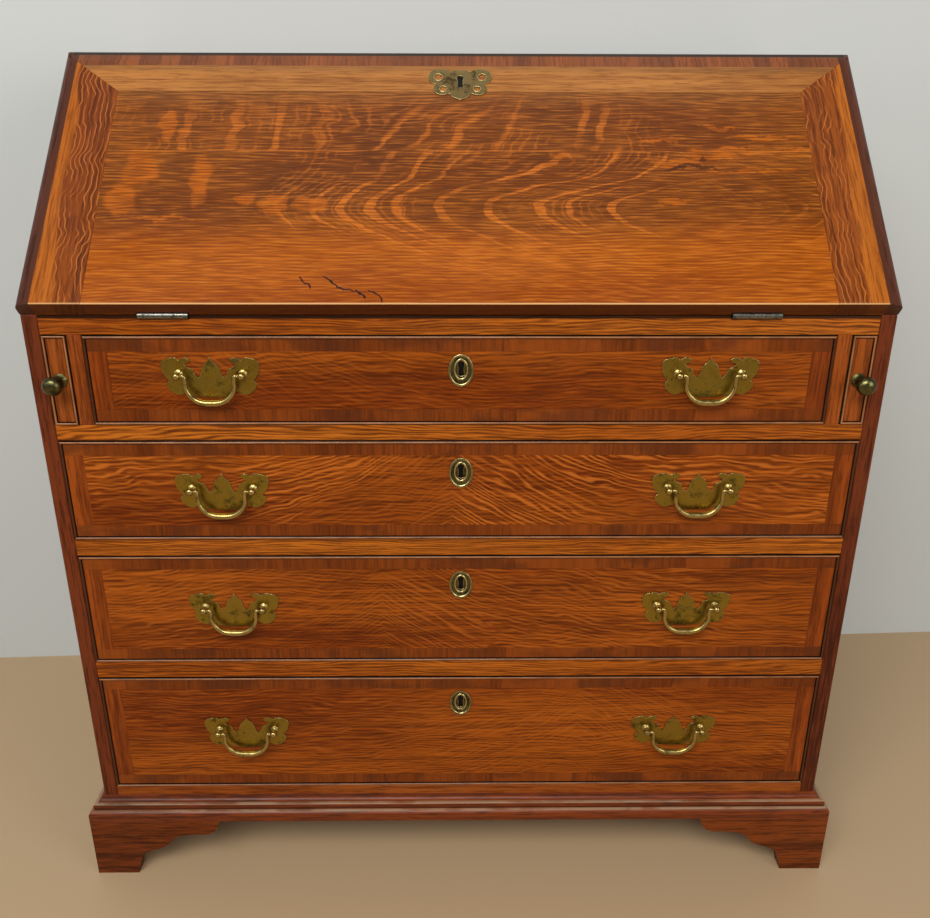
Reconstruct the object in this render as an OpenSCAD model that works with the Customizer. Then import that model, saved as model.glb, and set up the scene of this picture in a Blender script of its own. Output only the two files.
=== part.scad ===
// Slant-front writing desk (bureau): four long drawers below a sloping fall,
// which folds down onto two sliding supports and uncovers a fitted interior.
// Millimetres, +Z up, the front faces -Y, origin at the middle of the footprint on the floor.

/* [Carcass] */
// Width over the two side boards
body_w = 950; // [900:10:1000]
// Depth from the front edge of the sides to the back
body_d = 500; // [490:5:520]
// Height of the top surface above the floor
body_h = 1034; // [1030:1:1040]
// Thickness of each side board
side_t = 18; // [16:1:20]
// Thickness of the top board
top_t = 18; // [16:1:20]

/* [Writing level] */
// Height of the writing surface, which is also the height of the hinge pins
desk_z = 767; // [764:1:770]
// Thickness of the fixed writing bed
bed_t = 21.4; // [21.2:0.1:22]
// Slope of the closed fall above the horizontal, in degrees
slope = 45.5; // [45:0.5:46]
// Thickness of the fall
fall_t = 21; // [20:0.5:21]
// Width of the end cleats of the fall
cleat_w = 72; // [60:1:80]
// Height of the top cleat of the fall, on the outer face
top_cleat_w = 60; // [58:1:64]

/* [Long drawers] */
// Height of each drawer opening, from the top one down
drawer_open = [104.1, 125.5, 149.4, 172.1]; // [100:0.1:173]
// Thickness of each rail between two openings, from the top one down
rail_t = [18.4, 21.4, 22.8]; // [18:0.1:23]
// Width of the slot for a sliding support
loper_slot = 28; // [26:1:30]
// Thickness of the partition between a support and the top drawer
partition_t = 16; // [14:1:18]
// Length of a drawer box behind its front
drawer_len = 430; // [400:5:440]
// Height of the handle posts above the middle of each opening, from the top one down
post_rise = [8.5, 3.7, 5, 6]; // [3:0.1:9]
// Distance of each handle from the middle of the desk
handle_x = 276; // [250:1:300]

/* [Handles] */
// Distance between the two posts of a handle
post_pitch = 71; // [68:1:74]
// Distance of the bail's pivot in front of the drawer
post_out = 11; // [10:0.5:13]
// Drop of a bail below its pivot, to the middle of its bar
bail_drop = 34.5; // [32:0.5:37]
// Radius of a bail's bar
bail_r = 2.5; // [2:0.1:2.6]
// Distance that the knob of a sliding support stands out
knob_out = 30; // [28:1:32]

/* [Base] */
// Height of the bracket feet
foot_h = 88; // [80:1:90]
// Height of the base moulding
mould_h = 30; // [28:1:32]
// Projection of the base moulding and of the feet
mould_out = 18; // [16:1:20]

/* [Interior] */
// Setback of the pigeonholes behind the front edge of the sides
case_back = 264; // [260:1:280]
// Height of the opening for the row of small drawers
small_h = 59; // [50:1:60]
// Width of the middle pigeonhole
middle_w = 200; // [180:5:220]
// Thickness of the interior partitions
thin_t = 6; // [5:0.5:7]

/* [Hidden] */
$fn = 48;

// Small distances that are used throughout.
glue = 0.2;          // between two pieces of one node, so that each stays a solid of its own
fit = 0.5;           // around a sliding piece
pin_r = 1.5;         // radius of every hinge pin
bore_r = 1.55;       // radius of the hole that a pin turns in

// Main planes.
front_y = -(body_d - knob_out) / 2;
back_y = front_y + body_d;
half_w = body_w / 2;
inner_w = half_w - side_t;
back_t = 10;
inner_y = back_y - back_t;
top_under = body_h - top_t;
loper_x = inner_w - loper_slot;
top_drawer_w = loper_x - partition_t;

// Opening k is counted from 0 at the top.
function open_top(k) = k == 0 ? desk_z - bed_t : open_bottom(k - 1) - rail_t[k - 1];
function open_bottom(k) = open_top(k) - drawer_open[k];
function open_half(k) = k == 0 ? top_drawer_w : inner_w;
function post_z(k) = (open_top(k) + open_bottom(k)) / 2 + post_rise[k];
// The plane of the sloping edges, at height z.
function slope_y(z) = front_y + (z - desk_z) / tan(slope);

// Drawer parts.
front_t = 20;
front_gap = 1;
bead = 3;
bead_out = 2;
drawer_side_t = 9;
drawer_bottom_t = 7;
rail_d = 80;
key_drop = 39;       // keyhole below the top of the drawer front
lock_w = 60;
lock_h = 58;
lock_t = 11.5;
bolt_w = 20;
bolt_t = 4;
shank_r = 2.4;

// Fall, in its own frame: x across, y up the slope, z outwards, the hinge pins on the x axis.
fall_gap = 0.3;
fall_face = fall_gap + fall_t;
fall_len = (body_h - desk_z) / sin(slope) - fall_face / tan(slope);
fall_foot = 1;
fall_key = 305.5;
fall_lock_lo = fall_len - top_cleat_w;
fall_lock_hi = 348;
edge_r = 10;         // quadrant along the edge of the fall
edge_step = 1.5;

// Hinges.
hinge_x = 321;
hinge_len = 54;
knuckle_r = 4;
leaf_d = 28;
leaf_t = 2;
centre_knuckle = 18;

// Colours.
oak = [0.62, 0.36, 0.14];
oak_dark = [0.36, 0.17, 0.09];
oak_inside = [0.68, 0.50, 0.30];
brass = [0.55, 0.47, 0.20];
iron = [0.32, 0.31, 0.30];

module board(lo, hi) {
    translate(lo) cube(hi - lo);
}

// A profile in (y, z), carried along x from x0 to x1.
module along_x(x0, x1) {
    translate([x0, 0, 0]) rotate([90, 0, 90]) linear_extrude(x1 - x0) children();
}

// A round bar along x.
module bar_x(r, x0, x1) {
    translate([x0, 0, 0]) rotate([0, 90, 0]) cylinder(r = r, h = x1 - x0);
}

module fall_frame() {
    translate([0, front_y, desk_z]) rotate([slope, 0, 0]) children();
}

// Everything above the horizontal plane of the top surface.
module above_top() {
    translate([-body_w, -body_w, body_h]) cube(2 * body_w);
}

module keyhole() {
    circle(r = 3);
    translate([-1.3, -12]) square([2.6, 12]);
}

// An oval of points, half sizes a and b.
module oval(a, b) {
    polygon([for (i = [0:47]) [a * cos(7.5 * i), b * sin(7.5 * i)]]);
}

// ---- Carcass ----

module side_board(s) {
    x0 = s < 0 ? -half_w : inner_w;
    along_x(x0, x0 + side_t)
        polygon([
            [front_y, foot_h], [front_y, desk_z], [slope_y(top_under), top_under],
            [back_y, top_under], [back_y, foot_h]
        ]);
}

module side_left() { color(oak_dark) side_board(-1); }
module side_right() { color(oak_dark) side_board(1); }

module top_board() {
    color(oak) difference() {
        along_x(-half_w, half_w)
            polygon([
                [slope_y(top_under), top_under], [slope_y(body_h), body_h],
                [back_y, body_h], [back_y, top_under]
            ]);
        fall_frame() board([-bolt_w / 2 - 1.5, fall_lock_hi, -9.5], [bolt_w / 2 + 1.5, 364, -2.5]);
    }
}

back_boards_n = 5;
module back_boards() {
    pitch = (top_under - foot_h) / back_boards_n;
    color(oak_inside) for (i = [0:back_boards_n - 1])
        board([-inner_w, inner_y, foot_h + i * pitch], [inner_w, back_y, foot_h + (i + 1) * pitch - glue * 4]);
}

// A mortise for the bolt of drawer k, in the underside of what is above it.
module bolt_mortise(k) {
    board(
        [-bolt_w / 2 - 1.5, front_y + 9.5, open_top(k) - 1],
        [bolt_w / 2 + 1.5, front_y + 16.5, open_top(k) + 9]
    );
}

module writing_bed() {
    color(oak) difference() {
        board([-inner_w, front_y, desk_z - bed_t], [inner_w, inner_y, desk_z]);
        bolt_mortise(0);
        for (s = [-1, 1]) translate([s * hinge_x, front_y, desk_z]) {
            board([-hinge_len / 2 - fit, -1, -leaf_t - 0.1], [hinge_len / 2 + fit, leaf_d + fit, 1]);
            bar_x(knuckle_r + 0.4, -hinge_len / 2 - fit, hinge_len / 2 + fit);
        }
    }
}

module drawer_rails() {
    color(oak) for (k = [0:2]) difference() {
        board([-inner_w, front_y, open_top(k + 1)], [inner_w, front_y + rail_d, open_bottom(k)]);
        bolt_mortise(k + 1);
    }
}

module drawer_runners() {
    color(oak_inside) for (k = [0:2], s = [-1, 1]) {
        inward = k == 0 ? top_drawer_w - 30 : inner_w - 30;
        board(
            [s < 0 ? -inner_w : inward, front_y + rail_d + glue, open_top(k + 1)],
            [s < 0 ? -inward : inner_w, inner_y, open_bottom(k)]
        );
    }
}

module loper_partitions() {
    color(oak) for (s = [-1, 1])
        board(
            [s < 0 ? -loper_x : top_drawer_w, front_y, open_bottom(0)],
            [s < 0 ? -top_drawer_w : loper_x, inner_y, open_top(0)]
        );
}

bottom_t = 18;
module carcass_bottom() {
    z = open_bottom(3);
    color(oak_inside) {
        board([-inner_w, front_y, z - bottom_t], [inner_w, inner_y, z]);
        board([-inner_w, front_y, foot_h], [inner_w, front_y + 30, z - bottom_t - glue]);
        board([-inner_w, inner_y - 30, foot_h], [inner_w, inner_y, z - bottom_t - glue]);
    }
}

// Section of the base moulding: p is the distance out from the carcass, q the height.
module moulding_section() {
    ledge = 12;
    difference() {
        union() {
            square([8, mould_h]);
            square([ledge, mould_h - 7]);
            square([mould_out, 9]);
            intersection() {
                translate([ledge, 9]) circle(r = mould_out - ledge);
                translate([ledge - 1, 9]) square([mould_out, mould_out]);
            }
            square([ledge, 15]);
        }
        translate([8.5, mould_h]) circle(r = 6.5);
    }
}

// The front run is mitred at both ends, and each side run at its front end.
module base_moulding() {
    color(oak_dark) {
        translate([-half_w, front_y, foot_h]) intersection() {
            translate([-mould_out, 0, 0]) rotate([90, 0, 90])
                linear_extrude(body_w + 2 * mould_out) mirror([1, 0]) moulding_section();
            linear_extrude(mould_h)
                polygon([
                    [0, 0], [-mould_out + glue, -mould_out],
                    [body_w + mould_out - glue, -mould_out], [body_w, 0]
                ]);
        }
        for (s = [-1, 1]) scale([s, 1, 1]) translate([half_w, 0, foot_h]) intersection() {
            translate([0, back_y, 0]) rotate([90, 0, 0])
                linear_extrude(body_d + mould_out) moulding_section();
            linear_extrude(mould_h)
                polygon([
                    [0, front_y], [mould_out, front_y - mould_out + glue],
                    [mould_out, back_y], [0, back_y]
                ]);
        }
    }
}

bracket_t = 20;
bracket_len = 172;
// Outline of a bracket foot: distance from its corner, height.
module bracket_outline() {
    polygon([
        [0, 0], [55, 0], [59, 20], [68, 37], [86, 42], [101, 50], [108, 60],
        [120, 64], [150, 66], [166, 69], [bracket_len, foot_h], [0, foot_h]
    ]);
}

// The two bracket boards of a foot at the corner (0, 0), running along +x and +y, and its block.
module front_foot_right_way() {
    intersection() {
        translate([0, bracket_t, 0]) rotate([90, 0, 0]) linear_extrude(bracket_t) bracket_outline();
        linear_extrude(foot_h)
            polygon([[glue, 0], [bracket_len, 0], [bracket_len, bracket_t], [bracket_t + glue, bracket_t]]);
    }
    intersection() {
        rotate([90, 0, 90]) linear_extrude(bracket_t) bracket_outline();
        linear_extrude(foot_h)
            polygon([[0, 0], [0, bracket_len], [bracket_t, bracket_len], [bracket_t, bracket_t]]);
    }
    board([bracket_t + glue, bracket_t + glue, 1], [52, 52, foot_h]);
}

module back_foot_right_way() {
    rotate([90, 0, 90]) linear_extrude(bracket_t) bracket_outline();
    board([bracket_t + glue, 0, 0], [120, bracket_t, foot_h]);
    board([bracket_t + glue, bracket_t + glue, 1], [52, 52, foot_h]);
}

module front_foot(s) {
    color(oak_dark) scale([s, 1, 1])
        translate([-half_w - mould_out, front_y - mould_out, 0]) front_foot_right_way();
}

module back_foot(s) {
    color(oak_dark) scale([s, -1, 1])
        translate([-half_w - mould_out, -back_y, 0]) back_foot_right_way();
}

module foot_front_left() { front_foot(1); }
module foot_front_right() { front_foot(-1); }
module foot_back_left() { back_foot(1); }
module foot_back_right() { back_foot(-1); }

// ---- Fitted interior ----

case_y = front_y + case_back;
shelf_z = desk_z + small_h;
hole_z = shelf_z + thin_t;
post_x = middle_w / 2 + thin_t / 2;
side_pitch = (inner_w - post_x) / 3;
small_divide = (inner_w + middle_w / 2 + thin_t) / 2;

// Left and right limits of pigeonhole i, from -3 to 3.
function hole_lo(i) = i == 0 ? -middle_w / 2 : i > 0
    ? post_x + (i - 1) * side_pitch + thin_t / 2
    : -hole_hi(-i);
function hole_hi(i) = i == 0 ? middle_w / 2 : i > 0
    ? (i == 3 ? inner_w : post_x + i * side_pitch - thin_t / 2)
    : -hole_lo(-i);

module pigeonhole_case() {
    color(oak_inside) {
        board([-inner_w, case_y, shelf_z], [inner_w, inner_y, hole_z]);
        for (i = [0:2], s = [-1, 1]) {
            x = s * (post_x + i * side_pitch);
            board([x - thin_t / 2, case_y, hole_z + glue], [x + thin_t / 2, inner_y, top_under]);
        }
        for (x = [-small_divide, -post_x, post_x, small_divide])
            board([x - thin_t / 2, case_y, desk_z], [x + thin_t / 2, inner_y, shelf_z - glue]);
    }
}

arch_h = 38;
module pigeonhole_arches() {
    color(oak) for (i = [-3:3]) {
        w = hole_hi(i) - hole_lo(i) - 2 * glue;
        translate([hole_lo(i) + glue, case_y + 12, top_under - arch_h]) rotate([90, 0, 0])
            linear_extrude(6) difference() {
                square([w, arch_h - glue]);
                translate([w / 2, -4]) circle(r = w / 3 > 30 ? 30 : w / 3);
            }
    }
}

// ---- Hinges ----

module hinge_bed_leaves() {
    half = hinge_len / 2;
    inner = centre_knuckle / 2 + 0.3;
    color(brass) for (s = [-1, 1]) translate([s * hinge_x, front_y, desk_z]) difference() {
        union() {
            board([-half, knuckle_r + 0.6, -leaf_t], [half, leaf_d, 0]);
            for (t = [-1, 1]) scale([t, 1, 1]) {
                board([inner, 0, -leaf_t], [half, leaf_d, 0]);
                bar_x(knuckle_r, inner, half);
            }
        }
        bar_x(bore_r, -half - 1, half + 1);
    }
}

module hinge_pins() {
    color(iron) for (s = [-1, 1]) translate([s * hinge_x, front_y, desk_z])
        bar_x(pin_r, -hinge_len / 2, hinge_len / 2);
}

module fall_hinge_leaves() {
    half = hinge_len / 2;
    inner = centre_knuckle / 2;
    color(brass) fall_frame() for (s = [-1, 1]) translate([s * hinge_x, 0, 0]) difference() {
        union() {
            board([-half, knuckle_r + 0.6, fall_gap], [half, leaf_d, fall_gap + leaf_t]);
            board([-inner, 0, fall_gap], [inner, leaf_d, fall_gap + leaf_t]);
            bar_x(knuckle_r, -inner, inner);
        }
        bar_x(bore_r, -half, half);
    }
}

// ---- Fall ----

// The corner where the mitre leaves the panel.
mitre_x = half_w - cleat_w;
mitre_y = fall_len - top_cleat_w;
fall_reach = fall_len + fall_t + 10;

module fall_panel() {
    color(oak) fall_frame() difference() {
        board([-mitre_x, fall_foot, fall_gap], [mitre_x, mitre_y, fall_face]);
        for (s = [-1, 1]) translate([s * hinge_x, 0, 0]) {
            board([-hinge_len / 2 - fit, -1, -1], [hinge_len / 2 + fit, leaf_d + fit, fall_gap + leaf_t + 0.1]);
            bar_x(knuckle_r + 0.4, -hinge_len / 2 - fit, hinge_len / 2 + fit);
        }
    }
}

// What the moulded edge takes away, for an edge along +y at x = 0 with the board on its -x side.
module edge_cut(len) {
    translate([0, len, 0]) rotate([90, 0, 0]) linear_extrude(len) difference() {
        translate([-edge_r - 2, fall_face - edge_step - edge_r]) square(edge_r + 20);
        translate([-edge_r, fall_face - edge_step - edge_r]) circle(r = edge_r);
        translate([-edge_r - 20, 0]) square([20, fall_face - edge_step]);
    }
}

module fall_cleat(s) {
    color(oak) scale([s, 1, 1]) difference() {
        fall_frame() difference() {
            translate([0, 0, fall_gap]) linear_extrude(fall_t)
                polygon([
                    [mitre_x, fall_foot], [half_w, fall_foot],
                    [half_w, mitre_y + cleat_w], [mitre_x, mitre_y]
                ]);
            translate([half_w, 0, 0]) edge_cut(fall_reach);
            translate([0, mitre_y, 0]) top_cleat_corner();
        }
        above_top();
    }
}

// The region of the top cleat, which a side cleat leaves free past the mitre.
module top_cleat_corner() {
    linear_extrude(fall_face + 1)
        polygon([[mitre_x, 0], [half_w, top_cleat_w], [half_w + 1, cleat_w + 20], [mitre_x, cleat_w + 20]]);
}

module fall_cleat_left() { fall_cleat(-1); }
module fall_cleat_right() { fall_cleat(1); }

module fall_top_cleat() {
    color(oak) difference() {
        fall_frame() difference() {
            translate([0, 0, fall_gap]) linear_extrude(fall_t)
                polygon([
                    [-mitre_x, mitre_y], [mitre_x, mitre_y], [half_w, fall_len],
                    [half_w, fall_reach + fall_t], [-half_w, fall_reach + fall_t], [-half_w, fall_len]
                ]);
            for (s = [-1, 1]) scale([s, 1, 1]) translate([half_w, 0, 0]) edge_cut(fall_reach + fall_t);
            board([-half_w - 1, fall_len - 12, fall_face - edge_step], [half_w + 1, fall_reach, fall_face + 1]);
            board([-lock_w / 2 - glue, mitre_y - 1, -1], [lock_w / 2 + glue, fall_lock_hi + glue, 11.2]);
            translate([0, fall_key, 5]) linear_extrude(fall_t) keyhole();
        }
        above_top();
    }
}

module fall_lock() {
    color(iron) fall_frame() difference() {
        board([-lock_w / 2, fall_lock_lo + glue, -10], [lock_w / 2, fall_lock_hi, 11]);
        board([-bolt_w / 2 - 0.3, 316, -8.3], [bolt_w / 2 + 0.3, fall_lock_hi + 1, -3.7]);
        translate([0, fall_key, -3]) linear_extrude(fall_t) keyhole();
    }
}

module fall_lock_bolt() {
    color(brass) fall_frame() board([-bolt_w / 2, 317, -8], [bolt_w / 2, fall_lock_hi - 1, -4]);
}

module fall_escutcheon() {
    color(brass) fall_frame() translate([0, fall_key, fall_face]) linear_extrude(1.5) difference() {
        union() {
            oval(17, 22);
            for (s = [-1, 1]) {
                translate([s * 24, 8]) circle(r = 14);
                translate([s * 20, -9]) circle(r = 9);
            }
            translate([0, -16]) circle(r = 9);
        }
        keyhole();
        for (s = [-1, 1]) {
            translate([s * 22, 9]) circle(r = 4);
            translate([s * 19, -9]) circle(r = 3.4);
        }
    }
}

// ---- Long drawers ----

module drawer_front(k) {
    x1 = open_half(k) - front_gap;
    z0 = open_bottom(k) + front_gap;
    z1 = open_top(k) - front_gap;
    color(oak) difference() {
        union() {
            board([-x1, front_y, z0], [x1, front_y + front_t, z1]);
            difference() {
                board([-x1, front_y - bead_out, z0], [x1, front_y + 1, z1]);
                board([-x1 + bead, front_y - bead_out - 1, z0 + bead], [x1 - bead, front_y + 2, z1 - bead]);
            }
        }
        // Pocket for the lock, open to the back and at the top.
        board(
            [-lock_w / 2 - glue, front_y + front_t - lock_t - glue, z1 - lock_h - glue],
            [lock_w / 2 + glue, front_y + front_t + 1, z1 + 1]
        );
        translate([0, front_y + front_t, z1 - key_drop]) rotate([90, 0, 0])
            linear_extrude(front_t + 5) keyhole();
        for (s = [-1, 1], t = [-1, 1])
            translate([s * handle_x + t * post_pitch / 2, front_y - 1, post_z(k)])
                rotate([-90, 0, 0]) cylinder(r = shank_r + 0.1, h = front_t + 2);
    }
}

module drawer_box(k) {
    x1 = open_half(k) - front_gap - fit;
    x0 = x1 - drawer_side_t;
    z0 = open_bottom(k) + front_gap;
    z1 = open_top(k) - front_gap - 4;
    y0 = front_y + front_t;
    y1 = y0 + drawer_len;
    color(oak_inside) {
        for (s = [-1, 1])
            board([s < 0 ? -x1 : x0, y0, z0], [s < 0 ? -x0 : x1, y1, z1]);
        board([-x0 + glue, y0, z0 + 5], [x0 - glue, y1, z0 + 5 + drawer_bottom_t]);
        board([-x0 + glue, y1 - drawer_side_t, z0 + 5 + drawer_bottom_t + glue], [x0 - glue, y1, z1 - 8]);
    }
}

// Half outline of a handle's backplate: distance from its middle, height above the posts.
half_plate = [
    [0, 17], [4, 12], [7, 10], [10, 6], [11.5, 1.5], [13.5, -5], [18, 0], [20.5, 5], [26, 8],
    [28.5, 11.5], [24.5, 13], [21.5, 16], [27, 18.5], [35, 15.5], [38, 18.5], [47.5, 17],
    [52.5, 14.5], [54, 9.5], [51, -2.5], [45.5, -8], [49.5, -11], [47.5, -17], [41.5, -22.5],
    [35, -24], [27, -20], [19.5, -26], [0, -27.5]
];

module backplate() {
    difference() {
        polygon(concat(half_plate, [for (i = [len(half_plate) - 2:-1:1]) [-half_plate[i].x, half_plate[i].y]]));
        for (s = [-1, 1]) translate([s * post_pitch / 2, 0]) circle(r = shank_r + 0.1);
    }
}

// One handle post: a turned head with the pivot hole across it, and a shank through the drawer front.
module handle_post() {
    head_r = 4.2;
    difference() {
        rotate([90, 0, 0]) rotate_extrude() {
            translate([0, -front_t - 5]) square([shank_r, front_t + 5 + post_out]);
            translate([0, 1.8]) square([head_r, 2]);
            translate([0, post_out]) intersection() {
                circle(r = head_r);
                translate([0, -head_r]) square([head_r, 2 * head_r]);
            }
        }
        translate([0, -post_out, 0]) bar_x(bore_r, -10, 10);
    }
    translate([0, front_t + 0.3, 0]) rotate([-90, 0, 0]) difference() {
        translate([-5, -5, 0]) cube([10, 10, 3]);
        translate([0, 0, -1]) cylinder(r = shank_r + 0.1, h = 5);
    }
}

module drawer_brass(k) {
    color(brass) {
        for (s = [-1, 1]) translate([s * handle_x, front_y, post_z(k)]) {
            rotate([90, 0, 0]) linear_extrude(1.5) backplate();
            for (t = [-1, 1]) translate([t * post_pitch / 2, 0, 0]) handle_post();
        }
        z1 = open_top(k) - front_gap;
        translate([0, front_y, z1 - key_drop]) rotate([90, 0, 0]) linear_extrude(2) difference() {
            oval(14, 18.5);
            keyhole();
        }
        difference() {
            board([-lock_w / 2, front_y + front_t - lock_t, z1 - lock_h], [lock_w / 2, front_y + front_t, z1]);
            board(
                [-bolt_w / 2 - 0.3, front_y + 10.7, z1 - 35],
                [bolt_w / 2 + 0.3, front_y + 11.3 + bolt_t, z1 + 1]
            );
            translate([0, front_y + 12, z1 - key_drop]) rotate([90, 0, 0]) linear_extrude(9) keyhole();
        }
    }
}

module lock_bolt(k) {
    z1 = open_top(k) - front_gap;
    color(brass)
        board([-bolt_w / 2, front_y + 11, z1 - 26], [bolt_w / 2, front_y + 11 + bolt_t, z1 - 0.5]);
}

// A bail: two arms, two quarter rings and a bar, hanging from pins in the inner faces of the posts.
module bail(k, s) {
    arm_x = post_pitch / 2 - 7;
    ring_r = 14;
    color(brass) translate([s * handle_x, front_y - post_out, post_z(k)]) {
        for (t = [-1, 1]) scale([t, 1, 1]) {
            bar_x(pin_r, arm_x, post_pitch / 2 - 1);
            translate([arm_x, 0, 0]) sphere(r = bail_r);
            translate([arm_x, 0, ring_r - bail_drop]) cylinder(r = bail_r, h = bail_drop - ring_r);
            translate([arm_x - ring_r, 0, ring_r - bail_drop]) rotate([90, 0, 0])
                rotate([0, 0, -90]) rotate_extrude(angle = 90) translate([ring_r, 0]) circle(r = bail_r);
        }
        translate([0, 0, -bail_drop]) bar_x(bail_r, ring_r - arm_x, arm_x - ring_r);
    }
}

module drawer_1_front() { drawer_front(0); }
module drawer_1_box() { drawer_box(0); }
module drawer_1_brass() { drawer_brass(0); }
module drawer_1_bail_left() { bail(0, -1); }
module drawer_1_bail_right() { bail(0, 1); }
module drawer_1_lock_bolt() { lock_bolt(0); }
module drawer_2_front() { drawer_front(1); }
module drawer_2_box() { drawer_box(1); }
module drawer_2_brass() { drawer_brass(1); }
module drawer_2_bail_left() { bail(1, -1); }
module drawer_2_bail_right() { bail(1, 1); }
module drawer_2_lock_bolt() { lock_bolt(1); }
module drawer_3_front() { drawer_front(2); }
module drawer_3_box() { drawer_box(2); }
module drawer_3_brass() { drawer_brass(2); }
module drawer_3_bail_left() { bail(2, -1); }
module drawer_3_bail_right() { bail(2, 1); }
module drawer_3_lock_bolt() { lock_bolt(2); }
module drawer_4_front() { drawer_front(3); }
module drawer_4_box() { drawer_box(3); }
module drawer_4_brass() { drawer_brass(3); }
module drawer_4_bail_left() { bail(3, -1); }
module drawer_4_bail_right() { bail(3, 1); }
module drawer_4_lock_bolt() { lock_bolt(3); }

// ---- Sliding supports ----

loper_len = 400;
knob_z = open_bottom(0) + 52.5;
knob_bore = 4.1;

module loper(s) {
    x0 = loper_x + 1;
    x1 = inner_w - 1;
    z0 = open_bottom(0) + fit;
    z1 = open_top(0) - fit;
    color(oak) scale([s, 1, 1]) difference() {
        union() {
            board([x0, front_y, z0], [x1, front_y + loper_len, z1]);
            difference() {
                board([x0, front_y - bead_out, z0], [x1, front_y + 1, z1]);
                board([x0 + bead, front_y - bead_out - 1, z0 + bead], [x1 - bead, front_y + 2, z1 - bead]);
            }
        }
        translate([(x0 + x1) / 2, front_y - 1, knob_z]) rotate([-90, 0, 0]) cylinder(r = knob_bore, h = 20);
    }
}

// A turned knob: distance from its axis, distance out from the loper's face.
module knob() {
    rotate_extrude() {
        translate([0, -18]) square([knob_bore - 0.1, 24]);
        square([8, 2.5]);
        translate([0, 2]) square([4.5, 16]);
        intersection() {
            translate([0, knob_out - 9]) circle(r = 9);
            square([9, knob_out]);
        }
        translate([0, knob_out - 11]) square([10.75, 4]);
    }
}

module loper_knob(s) {
    color(brass) translate([s * (loper_x + inner_w) / 2, front_y, knob_z]) rotate([90, 0, 0]) knob();
}

module loper_left() { loper(-1); }
module loper_right() { loper(1); }
module loper_left_knob() { loper_knob(-1); }
module loper_right_knob() { loper_knob(1); }

// ---- Small drawers ----

// Left and right limits of the opening of small drawer i, from 1 at the left to 5.
function small_lo(i) = [
    -inner_w, thin_t / 2 - small_divide, -middle_w / 2, middle_w / 2 + thin_t, small_divide + thin_t / 2
][i - 1];
function small_hi(i) = [
    -small_divide - thin_t / 2, -middle_w / 2 - thin_t, middle_w / 2, small_divide - thin_t / 2, inner_w
][i - 1];

small_t = 5;
small_front = 8;
small_len = 200;
module small_drawer(i) {
    x0 = small_lo(i) + fit;
    x1 = small_hi(i) - fit;
    z0 = desk_z + fit;
    z1 = shelf_z - glue - fit;
    y1 = case_y + small_front + small_len;
    mid = [(x0 + x1) / 2, case_y, (z0 + z1) / 2];
    color(oak_inside) {
        difference() {
            board([x0, case_y, z0], [x1, case_y + small_front, z1]);
            translate(mid) rotate([-90, 0, 0]) translate([0, 0, -1]) cylinder(r = 2.3, h = small_front + 2);
        }
        for (x = [x0 + fit, x1 - fit - small_t])
            board([x, case_y + small_front + glue, z0], [x + small_t, y1, z1 - 2]);
        board([x0 + fit + small_t + glue, case_y + small_front + glue, z0 + 1], [x1 - fit - small_t - glue, y1, z0 + 5]);
        board([x0 + fit + small_t + glue, y1 - small_t, z0 + 5 + glue], [x1 - fit - small_t - glue, y1, z1 - 4]);
    }
    color(brass) translate(mid) {
        translate([0, -6.1, 0]) rotate([-90, 0, 0]) cylinder(r = 2.2, h = small_front + 5);
        translate([0, -9, 0]) sphere(r = 4.5);
    }
}

module small_drawer_1() { small_drawer(1); }
module small_drawer_2() { small_drawer(2); }
module small_drawer_3() { small_drawer(3); }
module small_drawer_4() { small_drawer(4); }
module small_drawer_5() { small_drawer(5); }

side_left();
side_right();
top_board();
back_boards();
writing_bed();
drawer_rails();
drawer_runners();
loper_partitions();
carcass_bottom();
base_moulding();
foot_front_left();
foot_front_right();
foot_back_left();
foot_back_right();
pigeonhole_case();
pigeonhole_arches();
hinge_bed_leaves();
hinge_pins();
fall_panel();
fall_cleat_left();
fall_cleat_right();
fall_top_cleat();
fall_hinge_leaves();
fall_lock();
fall_lock_bolt();
fall_escutcheon();
drawer_1_front();
drawer_1_box();
drawer_1_brass();
drawer_1_bail_left();
drawer_1_bail_right();
drawer_1_lock_bolt();
drawer_2_front();
drawer_2_box();
drawer_2_brass();
drawer_2_bail_left();
drawer_2_bail_right();
drawer_2_lock_bolt();
drawer_3_front();
drawer_3_box();
drawer_3_brass();
drawer_3_bail_left();
drawer_3_bail_right();
drawer_3_lock_bolt();
drawer_4_front();
drawer_4_box();
drawer_4_brass();
drawer_4_bail_left();
drawer_4_bail_right();
drawer_4_lock_bolt();
loper_left();
loper_right();
loper_left_knob();
loper_right_knob();
small_drawer_1();
small_drawer_2();
small_drawer_3();
small_drawer_4();
small_drawer_5();
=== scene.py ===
"""Slant-front writing desk in oak: its boards, mouldings, figure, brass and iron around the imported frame."""

import math

import bmesh
import bpy
from mathutils import Matrix, Vector, geometry


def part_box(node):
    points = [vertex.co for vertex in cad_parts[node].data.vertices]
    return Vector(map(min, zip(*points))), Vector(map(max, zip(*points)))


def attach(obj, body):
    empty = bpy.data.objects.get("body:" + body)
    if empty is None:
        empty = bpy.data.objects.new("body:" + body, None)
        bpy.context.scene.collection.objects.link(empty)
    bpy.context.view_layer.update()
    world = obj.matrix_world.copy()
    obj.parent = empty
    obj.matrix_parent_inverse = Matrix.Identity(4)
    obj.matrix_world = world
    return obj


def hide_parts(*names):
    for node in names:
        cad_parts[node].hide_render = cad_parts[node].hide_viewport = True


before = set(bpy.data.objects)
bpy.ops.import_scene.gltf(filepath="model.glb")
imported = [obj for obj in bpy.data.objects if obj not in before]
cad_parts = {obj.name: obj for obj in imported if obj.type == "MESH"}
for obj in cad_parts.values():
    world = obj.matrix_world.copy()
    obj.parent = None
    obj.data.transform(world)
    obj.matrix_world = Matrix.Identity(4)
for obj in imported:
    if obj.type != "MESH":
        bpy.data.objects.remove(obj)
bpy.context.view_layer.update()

mm = 0.001
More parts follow.
